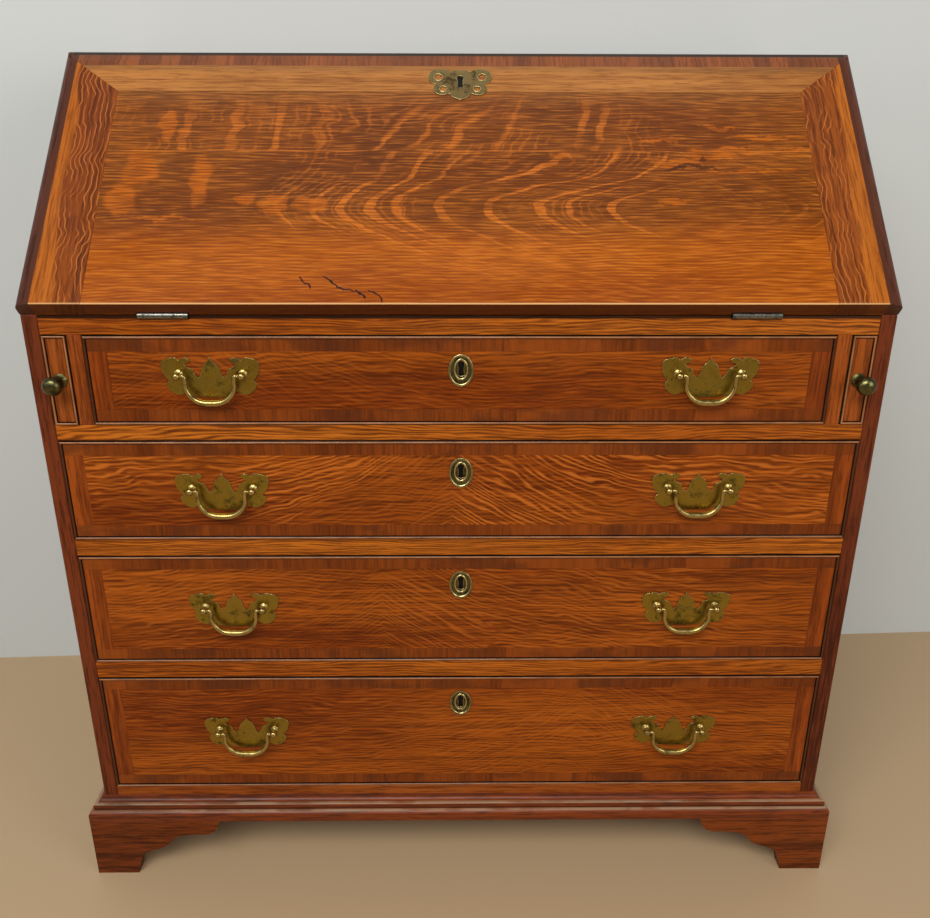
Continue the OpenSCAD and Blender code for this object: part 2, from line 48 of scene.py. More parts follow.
quarter = math.pi / 2

# ---- Main planes and sizes, from the frame ----

front_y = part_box("drawer_rails")[0].y
back_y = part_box("side_left")[1].y
half_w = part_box("side_right")[1].x
inner_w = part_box("side_right")[0].x
foot_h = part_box("side_right")[0].z
desk_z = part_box("writing_bed")[1].z
top_under, top_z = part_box("top_board")[0].z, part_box("top_board")[1].z
slope = math.atan2(top_under - desk_z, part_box("top_board")[0].y - front_y)
case_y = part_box("pigeonhole_case")[0].y

# The fall in its own frame: x across, y up the slope, z outwards, with the hinge pins on the x axis.
fall_place = Matrix.Translation((0, front_y, desk_z)) @ Matrix.Rotation(slope, 4, "X")
fall_gap = 0.3 * mm
fall_t = 21 * mm
fall_face = fall_gap + fall_t
fall_len = (top_z - desk_z) / math.sin(slope) - fall_face / math.tan(slope)
fall_foot = 1 * mm
cleat_w = 72 * mm
top_cleat_w = 60 * mm
mitre_x = half_w - cleat_w
mitre_y = fall_len - top_cleat_w
edge_r = 10 * mm
edge_step = 1.5 * mm
edge_x = half_w - edge_r - 2 * mm
fall_key = 305.5 * mm

post_pitch = 71 * mm
post_out = 11 * mm
bail_r = 2.5 * mm
key_drop = 39 * mm
veneer = 1.2 * mm
veneer_arris = 0.12 * mm
bead = 3 * mm
bead_out = 2 * mm
hair = 0.1 * mm
merge = 0.004 * mm
cad_merge = 0.01 * mm
wax = 0.03
wax_roughness = 0.16
wood_shine = 0.15
fibre = 0.2 * mm
sides = (("left", -1), ("right", 1))


# ---- Nodes ----

class Value:
    """What a node gives: a number, a place or a colour. Numbers take part in sums as they are written."""

    def __init__(self, socket):
        self.socket = socket

    def __add__(self, other):
        return reckon("ADD", self, other)

    def __sub__(self, other):
        return reckon("SUBTRACT", self, other)

    def __mul__(self, other):
        return reckon("MULTIPLY", self, other)

    def __truediv__(self, other):
        return reckon("DIVIDE", self, other)

    def __abs__(self):
        return reckon("ABSOLUTE", self)

    def parts(self):
        """The three numbers of a place."""
        return [Value(socket) for socket in add_node("SeparateXYZ", {0: self}).outputs]


def add_node(kind, sockets, tree=None, **settings):
    """One node, with its settings and sockets, in a given tree or in that of the values that it takes."""
    taken = {name: getattr(value, "socket", value) for name, value in sockets.items()}
    linked = {name: value for name, value in taken.items() if isinstance(value, bpy.types.NodeSocket)}
    if tree is None:
        tree = next(iter(linked.values())).id_data
    made = tree.nodes.new("ShaderNode" + kind)
    for name, value in settings.items():
        setattr(made, name, value)
    for name, value in taken.items():
        if name in linked:
            tree.links.new(value, made.inputs[name])
        else:
            made.inputs[name].default_value = value
    return made


def reckon(operation, *values):
    return Value(add_node("Math", dict(enumerate(values)), operation=operation).outputs[0])


def reckon_place(operation, first, second):
    return Value(add_node("VectorMath", {0: first, 1: second}, operation=operation).outputs[0])


def most(values):
    """The greatest of some values."""
    greatest = values[0]
    for value in values[1:]:
        greatest = reckon("MAXIMUM", greatest, value)
    return greatest


def between(value, low, high, start=0.0, end=1.0, way="SMOOTHSTEP"):
    """start below low, end above high, and a soft or a straight change from one to the other."""
    sockets = {"Value": value, "From Min": low, "From Max": high, "To Min": start, "To Max": end}
    return Value(add_node("MapRange", sockets, interpolation_type=way).outputs[0])


def cloud(spot, stretch, detail=2.0, rough=0.5, bend=0.0):
    """Soft chance values from 0 to 1, with so many lumps to a metre along each axis."""
    spread = reckon_place("MULTIPLY", spot, stretch)
    sockets = {"Vector": spread, "Scale": 1.0, "Detail": detail, "Roughness": rough, "Distortion": bend}
    return Value(add_node("TexNoise", sockets).outputs[0])


def paint(red, green, blue):
    """A colour given in the 0 to 255 steps of a paint chart, as the linear light that the shader takes."""
    steps = [value / 255 for value in (red, green, blue)]
    return tuple(s / 12.92 if s < 0.04045 else ((s + 0.055) / 1.055) ** 2.4 for s in steps) + (1.0,)


def mix(amount, first, second):
    """The first colour where the amount is 0, the second where it is 1. Either can be given as paint is."""
    first, second = (paint(*colour) if isinstance(colour, tuple) else colour for colour in (first, second))
    return Value(add_node("Mix", {0: amount, 6: first, 7: second}, data_type="RGBA").outputs[2])


def lines(phase, core, edge):
    """1 in the core of each line and 0 past its edge, with one line for each whole step of the phase."""
    return between(reckon("PINGPONG", phase, 0.5), core, edge, 1.0, 0.0)


fall_turn = Matrix.Rotation(-slope, 3, "X") @ Vector((0, front_y, desk_z))
# How a board lies: the turn that brings its grain to the first axis, and the shift after it.
lies = {
    "x": ((0, 0, 0), (0, 0, 0)),
    "y": ((0, 0, -quarter), (0, 0, 0)),
    "z": ((0, quarter, 0), (0, 0, 0)),
    "across fall": ((-slope, 0, 0), -fall_turn),
    "up fall": ((-slope, 0, -quarter), (-fall_turn.y, 0, -fall_turn.z)),
}
# The shift between one board's figure and another's, for a seed of 1.
seed_shift = Vector((1.7, 0.31, 0.53))


class Finish:
    """A material and its nodes. As it is made it has the thin wax and the low shine of the polished wood."""

    def __init__(self, name, roughness=0.4, metal=0.0, coat=wax, shine=wood_shine):
        self.material = bpy.data.materials.new(name)
        self.material.use_nodes = True
        self.tree = self.material.node_tree
        self.shader = self.tree.nodes["Principled BSDF"]
        self.give("Roughness", roughness)
        self.give("Metallic", metal)
        self.give("Specular IOR Level", shine)
        self.give("Coat Weight", coat)
        self.give("Coat Roughness", wax_roughness)

    def give(self, name, value):
        """Sets or links a socket of the shader."""
        if isinstance(value, Value):
            self.tree.links.new(value.socket, self.shader.inputs[name])
        else:
            self.shader.inputs[name].default_value = value

    def here(self):
        """The place on the desk."""
        return Value(add_node("TexCoord", {}, self.tree).outputs["Object"])

    def lay(self, way, seed=0.0):
        """The place on a board: along its grain, across it and into it, in metres."""
        turn, shift = lies[way]
        sockets = {"Vector": self.here(), "Rotation": turn, "Location": Vector(shift) + seed_shift * seed}
        return Value(add_node("Mapping", sockets).outputs[0])

    def raise_by(self, height, depth):
        bump = add_node("Bump", {"Height": height, "Distance": depth, "Strength": 0.5})
        self.give("Normal", Value(bump.outputs[0]))

    def polish(self, spot, colour, height, dull=0.32, bright=0.46, depth=fibre):
        """Old wax over the wood: the colour, a roughness that wanders, and the raised fibres."""
        self.give("Base Color", colour)
        self.give("Roughness", between(cloud(spot, (7, 16, 16), detail=3), 0.3, 0.7, dull, bright))
        self.raise_by(height, depth)
        return self.material


# ---- Finishes of the wood ----

def grain(spot, shades, growth=85.0, bold=0.5, pores=0.6, bend=0.3, dash=26.0, pitch=380.0):
    """The plain wood: slow drift, growth lines and the fine dashes of the pores. Gives colour and height."""
    deep, main, pale = shades
    drift = cloud(spot, (1.6, 9, 9), detail=3)
    growths = cloud(spot, (1.5, growth, growth), detail=3, rough=0.6, bend=bend)
    dashes = cloud(spot, (dash, pitch, pitch), detail=3, rough=0.65, bend=0.15)
    colour = mix(between(drift, 0.36, 0.64), main, pale)
    colour = mix(between(growths, 0.47, 0.6, 0.0, bold), colour, deep)
    colour = mix(between(dashes, 0.35, 0.47, pores, 0.0), colour, pale)
    colour = mix(between(dashes, 0.5, 0.63, 0.0, pores), colour, deep)
    return colour, between(dashes, 0.45, 0.65, 1.0, 0.0)


def pore_rows(spot, pitch, waver, slow=(4.5, 14, 14)):
    """Fine dark lines along the grain, a steady step apart: 1 in a line, 0 between, with soft gaps."""
    across, deep = spot.parts()[1:]
    phase = cloud(spot, slow, detail=3, rough=0.55) * waver + (across + deep) / pitch
    line = between(reckon("PINGPONG", phase, 0.5), 0.12, 0.42)
    return line * between(cloud(spot, (18, 170, 170)), 0.36, 0.56, 0.25, 1.0)


def plain_oak(name, way, shades, coat=wax, dull=0.34, bright=0.5, **figure):
    finish = Finish(name, coat=coat)
    spot = finish.lay(way)
    colour, height = grain(spot, shades, **figure)
    return finish.polish(spot, colour, height, dull, bright)


def bow_of_figure(rise):
    """How far a band of the fall's figure runs to the right, at a rise above the line of its bends."""
    low, high, reach = -130 * mm, 190 * mm, 300 * mm
    run = [
        (-130, 300), (-90, 170), (-60, 93), (-39, 50), (-24, 21), (0, 0), (25, 19), (43, 42), (77, 56),
        (190, 78),
    ]
    curve = add_node("FloatCurve", {"Value": between(rise, low, high, way="LINEAR")})
    points = curve.mapping.curves[0].points
    while len(points) < len(run):
        points.new(0.5, 0.5)
    for point, (up, right) in zip(points, run):
        point.location = ((up * mm - low) / (high - low), right * mm / reach)
    curve.mapping.update()
    return Value(curve.outputs[0]) * reach


def rays(value, low, high, marks, reach):
    """A light ray at each mark: 1 on the mark itself, and down to 0 at its reach on either side."""
    made = add_node("ValToRGB", {"Fac": between(value, low, high, way="LINEAR")})
    stops = [(low, 0)]
    for mark, strength in marks:
        start = max(mark * mm - reach, stops[-1][0] + 0.1 * mm)
        stops += [(start, 0), (mark * mm, strength), (mark * mm + reach, 0)]
    elements = made.color_ramp.elements
    while len(elements) < len(stops):
        elements.new(0.5)
    for element, (place, strength) in zip(elements, stops):
        element.position = (place - low) / (high - low)
        element.color = (strength, strength, strength, 1)
    return Value(made.outputs["Color"])


# All in millimetres on the fall. The rays below and above the glue line: place and strength.
flame_marks = (
    (-205, 0.55), (-167, 0.6), (-134, 1.0), (-99, 0.95), (-73, 0.75), (-25, 1.0), (29, 0.85), (86, 0.9),
    (118, 0.6), (168, 0.8),
)
upper_marks = (
    (-318, 0.95), (-262, 0.95), (-214, 0.9), (-163, 0.6), (-102, 0.7), (-62, 0.75), (-20, 0.9), (34, 0.85),
    (136, 0.85), (160, 0.95),
)
# Golden patches at the left and the right: middle (across, up) and half width and height.
patch_marks = (
    (-379, 137, 18, 24), (-364, 180, 20, 32), (-293, 166, 13, 36), (-239, 136, 14, 11), (-208, 129, 16, 12),
    (-167, 129, 21, 12), (-338, 240, 9, 26), (-330, 112, 40, 4), (352, 226, 50, 4), (310, 206, 40, 4),
    (250, 190, 34, 5), (240, 134, 22, 5), (296, 240, 26, 3), (232, 220, 30, 3), (392, 208, 24, 3),
    (330, 178, 60, 3), (278, 201, 24, 8), (116, 199, 16, 4), (300, 196, 18, 5),
)
# The dark eye of a knot and the streak below it.
knot_marks = ((277, 196, 5, 4), (262, 183, 34, 3))
# Dark cracks near the lower edge: the two ends, across and up.
cracks = (
    ((-176, 34), (-163, 26)), ((-145, 36), (-136, 24)), ((-136, 24), (-112, 15)), ((-112, 15), (-99, 6)),
    ((-95, 17), (-84, 5)),
)
bend_line = 126 * mm
glue_line = 205 * mm
rim_brown = (78, 42, 28)
end_brown = (74, 40, 22)


def patches_at(x, up, marks):
    """Soft oval patches round a list of places."""
    ovals = []
    for across, rise, wide, high in marks:
        dx = (x - across * mm) / (wide * mm)
        dy = (up - rise * mm) / (high * mm)
        ovals.append(between(dx * dx + dy * dy, 0.35, 1.25, 1.0, 0.0))
    return most(ovals)


def crack_lines(x, up, thick):
    """Short dark cracks, each a straight line between two places."""
    found = []
    for (x0, up0), (x1, up1) in cracks:
        run, rise = (x1 - x0) * mm, (up1 - up0) * mm
        length = math.hypot(run, rise)
        dx, dy = x - x0 * mm, up - up0 * mm
        along = (dx * run + dy * rise) / length
        off = (dy * run - dx * rise) / length
        past = reckon("MAXIMUM", abs(along - length / 2) - length / 2, 0.0)
        found.append(between(abs(off) + past, thick * 0.4, thick, 1.0, 0.0))
    return most(found)


def uneven(spot):
    """The place with a chance shift of a few millimetres, which makes drawn shapes uneven."""
    sockets = {"Vector": spot, "Scale": 38.0, "Detail": 3.0, "Roughness": 0.6}
    chance = add_node("TexNoise", sockets).outputs["Color"]
    shift = reckon_place("MULTIPLY", reckon_place("SUBTRACT", chance, (0.5, 0.5, 0.5)), (0.03, 0.03, 0))
    return reckon_place("ADD", shift, spot)


def lower_edge(up, out, worn):
    """The fall's lower edge: its arris pale, partly wear and partly a painted highlight, and its sawn end
    dark, partly end grain and partly painted shade.
    """
    arris = between(up, 1.6 * mm, 3.4 * mm, worn, 0.0) * between(out, 20 * mm, 21 * mm)
    end = between(out, 1 * mm, 2 * mm) * between(out, 19.6 * mm, 20.6 * mm, 0.8, 0.0)
    return arris, end


def dark_rim(outward):
    """The outer millimetres of the fall's face, as dark as its moulded edge."""
    return between(outward, half_w - 18 * mm, half_w - 17 * mm)


def lower_flames(spot, x, up, broken):
    """The rays below the glue line, which bend round to the right, with fine ones between them."""
    rise = up - bend_line
    longer = between(x, -60 * mm, 150 * mm, 0.0, 1.7) * between(rise, -2 * mm, 10 * mm)
    bow = bow_of_figure(rise)
    left = x - (bow * longer + bow)
    # The right end of the figure: the bands lie in a V with a rounded point.
    rounding = 0.00008
    right = x * -1.6 + 0.732 + reckon("SQRT", rise * rise + rounding) * -3.1
    hill = reckon("MINIMUM", left, right)
    shaken = cloud(spot, (16, 45, 45), detail=3, rough=0.65) * (22 * mm) + (hill - 11 * mm)
    main = rays(shaken, -420 * mm, 480 * mm, flame_marks, 8.5 * mm)
    main = between(main - between(abs(rise), 6 * mm, 45 * mm, 0.25, 0.5), 0.0, 0.2)
    main = main * between(x, -270 * mm, -225 * mm, 0.15, 1.0)
    main = main * between(abs(x - 330 * mm), 50 * mm, 75 * mm, 0.25, 1.0)
    off_bend = most([between(abs(rise), 6 * mm, 22 * mm), between(x, 120 * mm, 190 * mm, 1.0, 0.0)])
    fine = lines(shaken / (11 * mm), 0.05, 0.22) * between(x, -260 * mm, -190 * mm) * off_bend
    return most([main, fine * broken])


def upper_flames(spot, x, up, broken):
    """The rays above the glue line, which lean away from the middle."""
    lean = between(abs(x), 30 * mm, 140 * mm, -0.85, -0.1)
    way = (up - glue_line) * lean + x
    way = cloud(spot, (10, 20, 20), detail=3, rough=0.55) * (60 * mm) + (way - 30 * mm)
    main = between(rays(way, -480 * mm, 480 * mm, upper_marks, 10 * mm), 0.3, 0.65, 0.0, 0.85)
    fine = lines(way / (14 * mm), 0.05, 0.2) * broken
    return most([main, fine]) * between(x, 180 * mm, 230 * mm, 1.0, 0.2)


def fall_field_oak():
    """The quartered boards of the fall: bent flame rays above, fine golden grain below, one glue line."""
    finish = Finish("oak_fall_field")
    spot = finish.lay("across fall")
    x, up, out = spot.parts()
    drift = between(cloud(spot, (3, 12, 12), detail=3), 0.35, 0.65)
    golden = between(cloud(spot, (5, 9, 9)) * (50 * mm) + up, 95 * mm, 150 * mm, 1.0, 0.0)
    low = mix(drift, (146, 68, 4), (172, 90, 14))
    high = mix(drift, (112, 54, 8), (136, 72, 16))
    high = mix(between(cloud(spot, (13, 12, 12)), 0.5, 0.64, 0.0, 0.35), high, (84, 42, 10))
    colour = mix(golden, high, low)
    broken = between(cloud(spot, (11, 24, 24), detail=3), 0.46, 0.6, 0.0, 0.5)
    above_glue = between(up, glue_line - 1 * mm, glue_line + 1 * mm)
    flames = mix(above_glue, lower_flames(spot, x, up, broken), upper_flames(spot, x, up, broken))
    worn = between(cloud(spot, (12, 26, 26), detail=3), 0.34, 0.5, 0.25, 1.0)
    strength = worn * between(up, 8 * mm, 100 * mm, 0.3, 1.0) * between(up, 235 * mm, 292 * mm, 1.0, 0.3)
    colour = mix(flames * strength, colour, (190, 102, 28))
    bent_x, bent_up = uneven(spot).parts()[:2]
    colour = mix(patches_at(bent_x, bent_up, patch_marks) * 0.8, colour, (180, 92, 14))
    # Painted sheen: the field turns paler and greyer towards its top, as the polish there reflects the room.
    colour = mix(between(up, 262 * mm, 293 * mm, 0.0, 0.6), colour, (148, 92, 40))
    seam = between(abs(up - glue_line), 0.5 * mm, 2.2 * mm, 0.5, 0.0) * worn
    colour = mix(seam, colour, (190, 106, 36))
    dashes = cloud(spot, (34, 480, 480), rough=0.45, bend=0.2)
    colour = mix(between(dashes, 0.34, 0.47, 0.35, 0.0), colour, (200, 118, 40))
    ink = mix(golden, (74, 34, 4), (112, 46, 0))
    colour = mix(between(dashes, 0.5, 0.6, 0.0, 0.45), colour, ink)
    colour = mix(pore_rows(spot, 4.2 * mm, 6.0) * 0.55, colour, ink)
    colour = mix(patches_at(bent_x, bent_up, knot_marks) * 0.75, colour, (58, 26, 10))
    cracked = crack_lines(bent_x, bent_up, 1.7 * mm)
    colour = mix(cracked, colour, (48, 20, 4))
    arris, end = lower_edge(up, out, 0.85)
    # The lower arris is pale from wear and a painted highlight; the sawn end is dark from end grain and
    # painted shade.
    colour = mix(arris, colour, (222, 176, 120))
    colour = mix(end, colour, end_brown)
    return finish.polish(spot, colour, between(dashes, 0.45, 0.65, 1.0, 0.0) - cracked * 4)


def cleat_oak(side, sign):
    """An end cleat of the fall: an orange outer strip and a brown inner one with fine light squiggles."""
    finish = Finish("oak_cleat_" + side)
    spot = finish.lay("up fall")
    up, across, out = spot.parts()
    outward = across * -sign
    inner, height = grain(spot, ((74, 30, 8), (112, 50, 14), (136, 68, 20)), growth=140, bold=0.6)
    outer = grain(spot, ((104, 48, 8), (156, 82, 22), (176, 98, 30)), growth=90, bold=0.35)[0]
    swaying = cloud(spot, (9, 3, 3), detail=1) * (22 * mm) + (up * -0.045 + outward)
    change = between(swaying, half_w - 31 * mm, half_w - 26 * mm)
    squiggles = lines(cloud(spot, (24, 12, 12)) * 5.4 + outward / (6.2 * mm), 0.01, 0.18)
    broken = between(cloud(spot, (20, 60, 60)), 0.38, 0.56, 0.1, 0.85)
    inner = mix(squiggles * broken, inner, (180, 104, 44))
    colour = mix(change, inner, outer)
    arris, end = lower_edge(up, out, 0.7)
    # The lower arris is pale from wear and a painted highlight; the sawn end is dark from end grain and
    # painted shade.
    colour = mix(arris, colour, (214, 170, 118))
    colour = mix(end * between(up, 4 * mm, 6 * mm, 1.0, 0.0), colour, end_brown)
    colour = mix(dark_rim(outward), colour, rim_brown)
    return finish.polish(spot, colour, height)


def tone_of_pieces(along, length, spot, lumps):
    """A chance tone for each short piece of cross-grained veneer, with uneven joints."""
    step = cloud(spot, (lumps, lumps, lumps), detail=1) * 2.0 + along / length
    return Value(add_node("TexWhiteNoise", {"W": reckon("FLOOR", step)}, noise_dimensions="1D").outputs[0])


def top_cleat_finish():
    """The upper cleat: gold with level dark streaks, a cross-grained red strip above and a painted shade along
    its top arris.
    """
    finish = Finish("oak_top_cleat")
    spot = finish.lay("across fall")
    x, up, out = spot.parts()
    gold = ((112, 60, 22), (158, 100, 44), (178, 116, 56))
    colour, height = grain(spot, gold, growth=120, bold=0.45)
    red = mix(tone_of_pieces(x, 21 * mm, spot, 5), (112, 62, 36), (140, 78, 42))
    red = mix(between(cloud(spot, (420, 30, 30)), 0.45, 0.65, 0.0, 0.5), red, (80, 40, 24))
    colour = mix(between(up, fall_len - 36 * mm, fall_len - 22 * mm, 0.0, 0.45), colour, (116, 80, 46))
    face = between(out, 18 * mm, 19 * mm)
    strip = between(up, fall_len - 20.8 * mm, fall_len - 20 * mm) * face
    colour = mix(strip, colour, red)
    colour = mix(dark_rim(abs(x)), colour, rim_brown)
    # Painted shade: a dark grey line along the top of the cleat's face.
    lip = between(finish.here().parts()[2], top_z - 3.4 * mm, top_z - 2.8 * mm, 0.0, 0.92) * face
    colour = mix(lip, colour, (44, 40, 34))
    return finish.polish(spot, colour, height, 0.34, 0.48)


def drawer_oak(number, middle, strength):
    """A drawer's field: fine wavy level grain, with light ray flecks that fall away from a middle line."""
    finish = Finish(f"oak_drawer_{number}")
    seed = number * 0.7
    spot = finish.lay("x", seed)
    shades = ((56, 16, 0), (118, 48, 2), (158, 78, 12))
    colour, height = grain(spot, shades, growth=110, bold=0.35, pores=0.5, dash=22, pitch=400, bend=0.5)
    colour = mix(pore_rows(spot, 4.4 * mm, 9.0, (6, 14, 14)) * 0.62, colour, (70, 22, 0))
    here = finish.here()
    x, z = here.parts()[::2]
    drop = reckon("TANH", abs(x - middle) / (190 * mm)) * (115 * mm)
    slant = Value(add_node("CombineXYZ", {0: x, 1: z + drop, 2: seed}).outputs[0])
    flecks = reckon("POWER", pore_rows(slant, 6.4 * mm, 9.0, (7, 16, 16)), 1.6)
    where = between(cloud(here, (4.2, 5, 9), detail=1), 0.38, 0.56, 0.2, 1.0)
    colour = mix(flecks * where * strength, colour, (188, 102, 32))
    return finish.polish(spot, colour, height)


def rail_finish():
    """The rails: orange oak with bold dark growth lines that wander, and a painted shade in the gap under the
    fall.
    """
    finish = Finish("oak_rail")
    spot = finish.lay("x")
    shades = ((74, 26, 0), (158, 78, 12), (188, 104, 26))
    colour, height = grain(spot, shades, growth=330, bold=0.5, bend=1.2, pores=0.4)
    colour = mix(pore_rows(spot, 3.8 * mm, 16.0, (3, 16, 16)) * 0.75, colour, (72, 26, 0))
    y, z = finish.here().parts()[1:]
    # Painted shade: the bed's front is darkened just under the fall, where the gap lies in shadow.
    painted_shade_under_fall = between(z, desk_z - 4 * mm, desk_z - 2.8 * mm, 0.0, 0.92)
    at_front = between(y, front_y + 6 * mm, front_y + 12 * mm, 1.0, 0.0)
    colour = mix(painted_shade_under_fall * at_front, colour, (24, 10, 4))
    return finish.polish(spot, colour, height, 0.34, 0.5)


def long_band_oak():
    """The long bands of the drawers: short pieces of cross-grained veneer, each of its own tone."""
    finish = Finish("oak_crossband_long")
    spot = finish.lay("z")
    shades = ((62, 25, 4), (104, 45, 8), (124, 58, 13))
    colour, height = grain(spot, shades, growth=130, bold=0.35, pores=0.35)
    here = finish.here()
    tone = tone_of_pieces(here.parts()[0], 52 * mm, here, 4)
    colour = mix(between(tone, 0.45, 0.95, 0.0, 0.45), colour, (148, 72, 18))
    smudge = between(cloud(here, (16, 16, 30), detail=3), 0.5, 0.62, 0.0, 0.5)
    colour = mix(smudge, colour, (76, 36, 16))
    return finish.polish(spot, colour, height)


def end_band_oak():
    """The end bands of the drawers: an orange line outside, brown inside it."""
    finish = Finish("oak_end_band")
    spot = finish.lay("z")
    brown, height = grain(spot, ((76, 28, 2), (116, 50, 8), (138, 64, 14)), growth=130)
    orange = grain(spot, ((84, 32, 4), (128, 55, 9), (148, 70, 16)), growth=130)[0]
    x = abs(finish.here().parts()[0])
    in_long = between(x, 442 * mm, 444 * mm, way="LINEAR")
    past_short = between(x, 411 * mm, 413 * mm, 1.0, 0.0, "LINEAR")
    in_short = between(x, 398 * mm, 400 * mm, way="LINEAR") * past_short
    colour = mix(most([in_long, in_short]), brown, orange)
    return finish.polish(spot, colour, height)


def bead_finish(name, crest_highlight):
    """Cockbead: a painted highlight along its crest, broken unevenly, and painted shade on the rest of it."""
    finish = Finish(name, 0.3, coat=0.2, shine=0.3)
    here = finish.here()
    # Painted highlight on the crest, broken by chance; the dark base colour of the bead is painted shade.
    crest = between(here.parts()[1], front_y - bead_out, front_y - bead_out + 0.8 * mm, 1.0, 0.0)
    worn = between(cloud(here, (34, 34, 34), detail=3), 0.3, 0.6, 0.55, 1.0)
    finish.give("Base Color", mix(crest * worn, (44, 16, 4), crest_highlight))
    return finish.material


def moulding_finish(name, way):
    """The base moulding: dark red, with painted highlights along the shoulders of its ovolo and its lip, and
    painted shade in the crease above the ovolo.
    """
    finish = Finish(name, coat=0.08, shine=0.25)
    spot = finish.lay(way)
    colour, height = grain(spot, ((48, 18, 4), (96, 38, 10), (126, 54, 14)), growth=150)
    here = finish.here()
    up = here.parts()[2] - foot_h
    worn = between(cloud(here, (22, 22, 60), detail=3), 0.32, 0.55, 0.35, 1.0)
    # Painted highlights along the shoulders of the ovolo and the lip, broken unevenly.
    ovolo = between(abs(up - 14.4 * mm), 0.36 * mm, 0.9 * mm, 0.75, 0.0)
    lip = between(abs(up - 22.7 * mm), 0.24 * mm, 0.6 * mm, 0.75, 0.0)
    colour = mix(most([ovolo, lip]) * worn, colour, (166, 138, 108))
    # Painted shade in the crease above the ovolo, fading up the face below the lip.
    painted_crease_shade = between(up, 16 * mm, 19.5 * mm, 0.8, 0.0) * between(up, 15 * mm, 15.6 * mm)
    colour = mix(painted_crease_shade, colour, (52, 18, 6))
    return finish.polish(spot, colour, height, 0.34, 0.48, 0.15 * mm)


def core_finish(name, way):
    """The board behind the veneers: dark at its front, a painted shade that shows in the gaps beside the bead;
    dry and pale behind.
    """
    finish = Finish(name, coat=0.0)
    spot = finish.lay(way)
    colour, height = grain(spot, dry_shades, growth=60)
    # Painted shade: the front of the core is dark, so it shows as shadow in the gaps beside the cockbead.
    painted_gap_shade = between(finish.here().parts()[1], front_y + 1.6 * mm, front_y + 1.7 * mm, 1.0, 0.0, "LINEAR")
    return finish.polish(spot, mix(painted_gap_shade, colour, (30, 12, 4)), height, 0.5, 0.7)


# The shades of a wood are deep, main and pale.
dry_shades = ((104, 68, 36), (154, 112, 66), (172, 130, 82))
foot_shades = ((48, 16, 2), (98, 42, 10), (124, 58, 18))

side_oak = plain_oak("oak_side", "z", ((40, 12, 4), (88, 36, 14), (108, 48, 20)), growth=60)
top_oak = plain_oak("oak_top", "x", ((84, 40, 12), (136, 74, 28), (156, 92, 38)), growth=60)
rail_oak = rail_finish()
upright_oak = plain_oak("oak_upright", "z", ((76, 30, 4), (134, 62, 16), (156, 80, 26)), growth=150)
moulding_front_oak = moulding_finish("oak_moulding_front", "x")
moulding_side_oak = moulding_finish("oak_moulding_side", "y")
foot_front_oak = plain_oak("oak_foot_front", "x", foot_shades, growth=80, bold=0.6)
foot_side_oak = plain_oak("oak_foot_side", "y", foot_shades, growth=80, bold=0.6)
# Painted highlights: a pale crest on the level beads, and a much weaker one on the upright beads at the ends.
bead_oak = bead_finish("oak_bead", (160, 106, 66))
bead_end_oak = bead_finish("oak_bead_end", (70, 36, 16))
edge_oak = plain_oak("oak_fall_edge", "up fall", ((36, 16, 10), (74, 38, 26), (92, 50, 34)), growth=90)
top_cleat_oak = top_cleat_finish()
loper_oak = plain_oak("oak_loper", "z", ((76, 30, 4), (130, 60, 14), (150, 76, 24)), growth=120)
dry_oak = {
    way: plain_oak("oak_dry_" + way, way, dry_shades, coat=0.0, dull=0.6, bright=0.75, growth=60)
    for way in "xyz"
}
strip_oak = plain_oak("oak_bottom_strip", "x", ((80, 32, 4), (130, 62, 16), (150, 78, 26)), growth=110)
drawer_core_oak = core_finish("oak_drawer_core", "x")
loper_core_oak = core_finish("oak_loper_core", "y")
small_front_oak = plain_oak("oak_small_front", "x", ((92, 44, 10), (148, 80, 28), (170, 100, 40)))
crossband_long = long_band_oak()
crossband_end = end_band_oak()
valance_oak = plain_oak("oak_valance", "x", ((82, 40, 12), (138, 76, 28), (156, 92, 38)), growth=90)
# A near-black finish of painted shade, for the plates behind the keyholes where the lock's inside lies in
# shadow.
shadow = plain_oak("keyhole_painted_shade", "z", ((6, 4, 3), (12, 9, 6), (16, 12, 8)), coat=0.0)


# ---- Finishes of the metal ----

def metal(name, clean, tarnish, share, roughness):
    """Old metal: clean where it is rubbed, with tarnish in soft patches, shallow dents and fine pits."""
    finish = Finish(name, metal=1.0, coat=0.0, shine=0.5)
    here = finish.here()
    patches = cloud(here, (70, 70, 70), detail=5, rough=0.7)
    finish.give("Base Color", mix(between(patches, 0.62 - share, 0.78 - share), clean, tarnish))
    finish.give("Roughness", between(patches, 0.3, 0.7, roughness, roughness + 0.22))
    finish.raise_by(cloud(here, (1400, 1400, 1400)) * 0.06 + cloud(here, (75, 75, 75)), 1 * mm)
    return finish.material


brass = metal("brass_aged", (150, 126, 50), (88, 78, 36), 0.1, 0.24)
brass_bail = metal("brass_bail", (174, 152, 92), (104, 90, 48), 0.1, 0.2)
brass_brown = metal("brass_brown", (126, 106, 66), (78, 62, 36), 0.14, 0.3)
brass_dull = metal("brass_dull", (98, 94, 58), (54, 52, 32), 0.16, 0.22)
# Brighter brass for the rims of plates: partly wear, partly a painted highlight.
brass_rubbed_highlit = metal("brass_rubbed_highlit", (192, 176, 122), (110, 96, 54), 0.06, 0.2)
steel = metal("steel_worn", (124, 124, 116), (46, 46, 42), 0.12, 0.2)
iron = metal("iron_dull", (96, 88, 80), (48, 40, 34), 0.1, 0.5)


# ---- Shapes ----

def at(x, y, z):
    return Matrix.Translation((x, y, z))


def in_mm(points):
    return [tuple(value * mm for value in point) for point in points]


def ease(bm, edges, width, steps=2):
    """Takes the sharp arris off edges."""
    bmesh.ops.bevel(bm, geom=edges, offset=width, offset_type="OFFSET", segments=steps, profile=0.5,
                    affect="EDGES", clamp_overlap=True, material=-1)


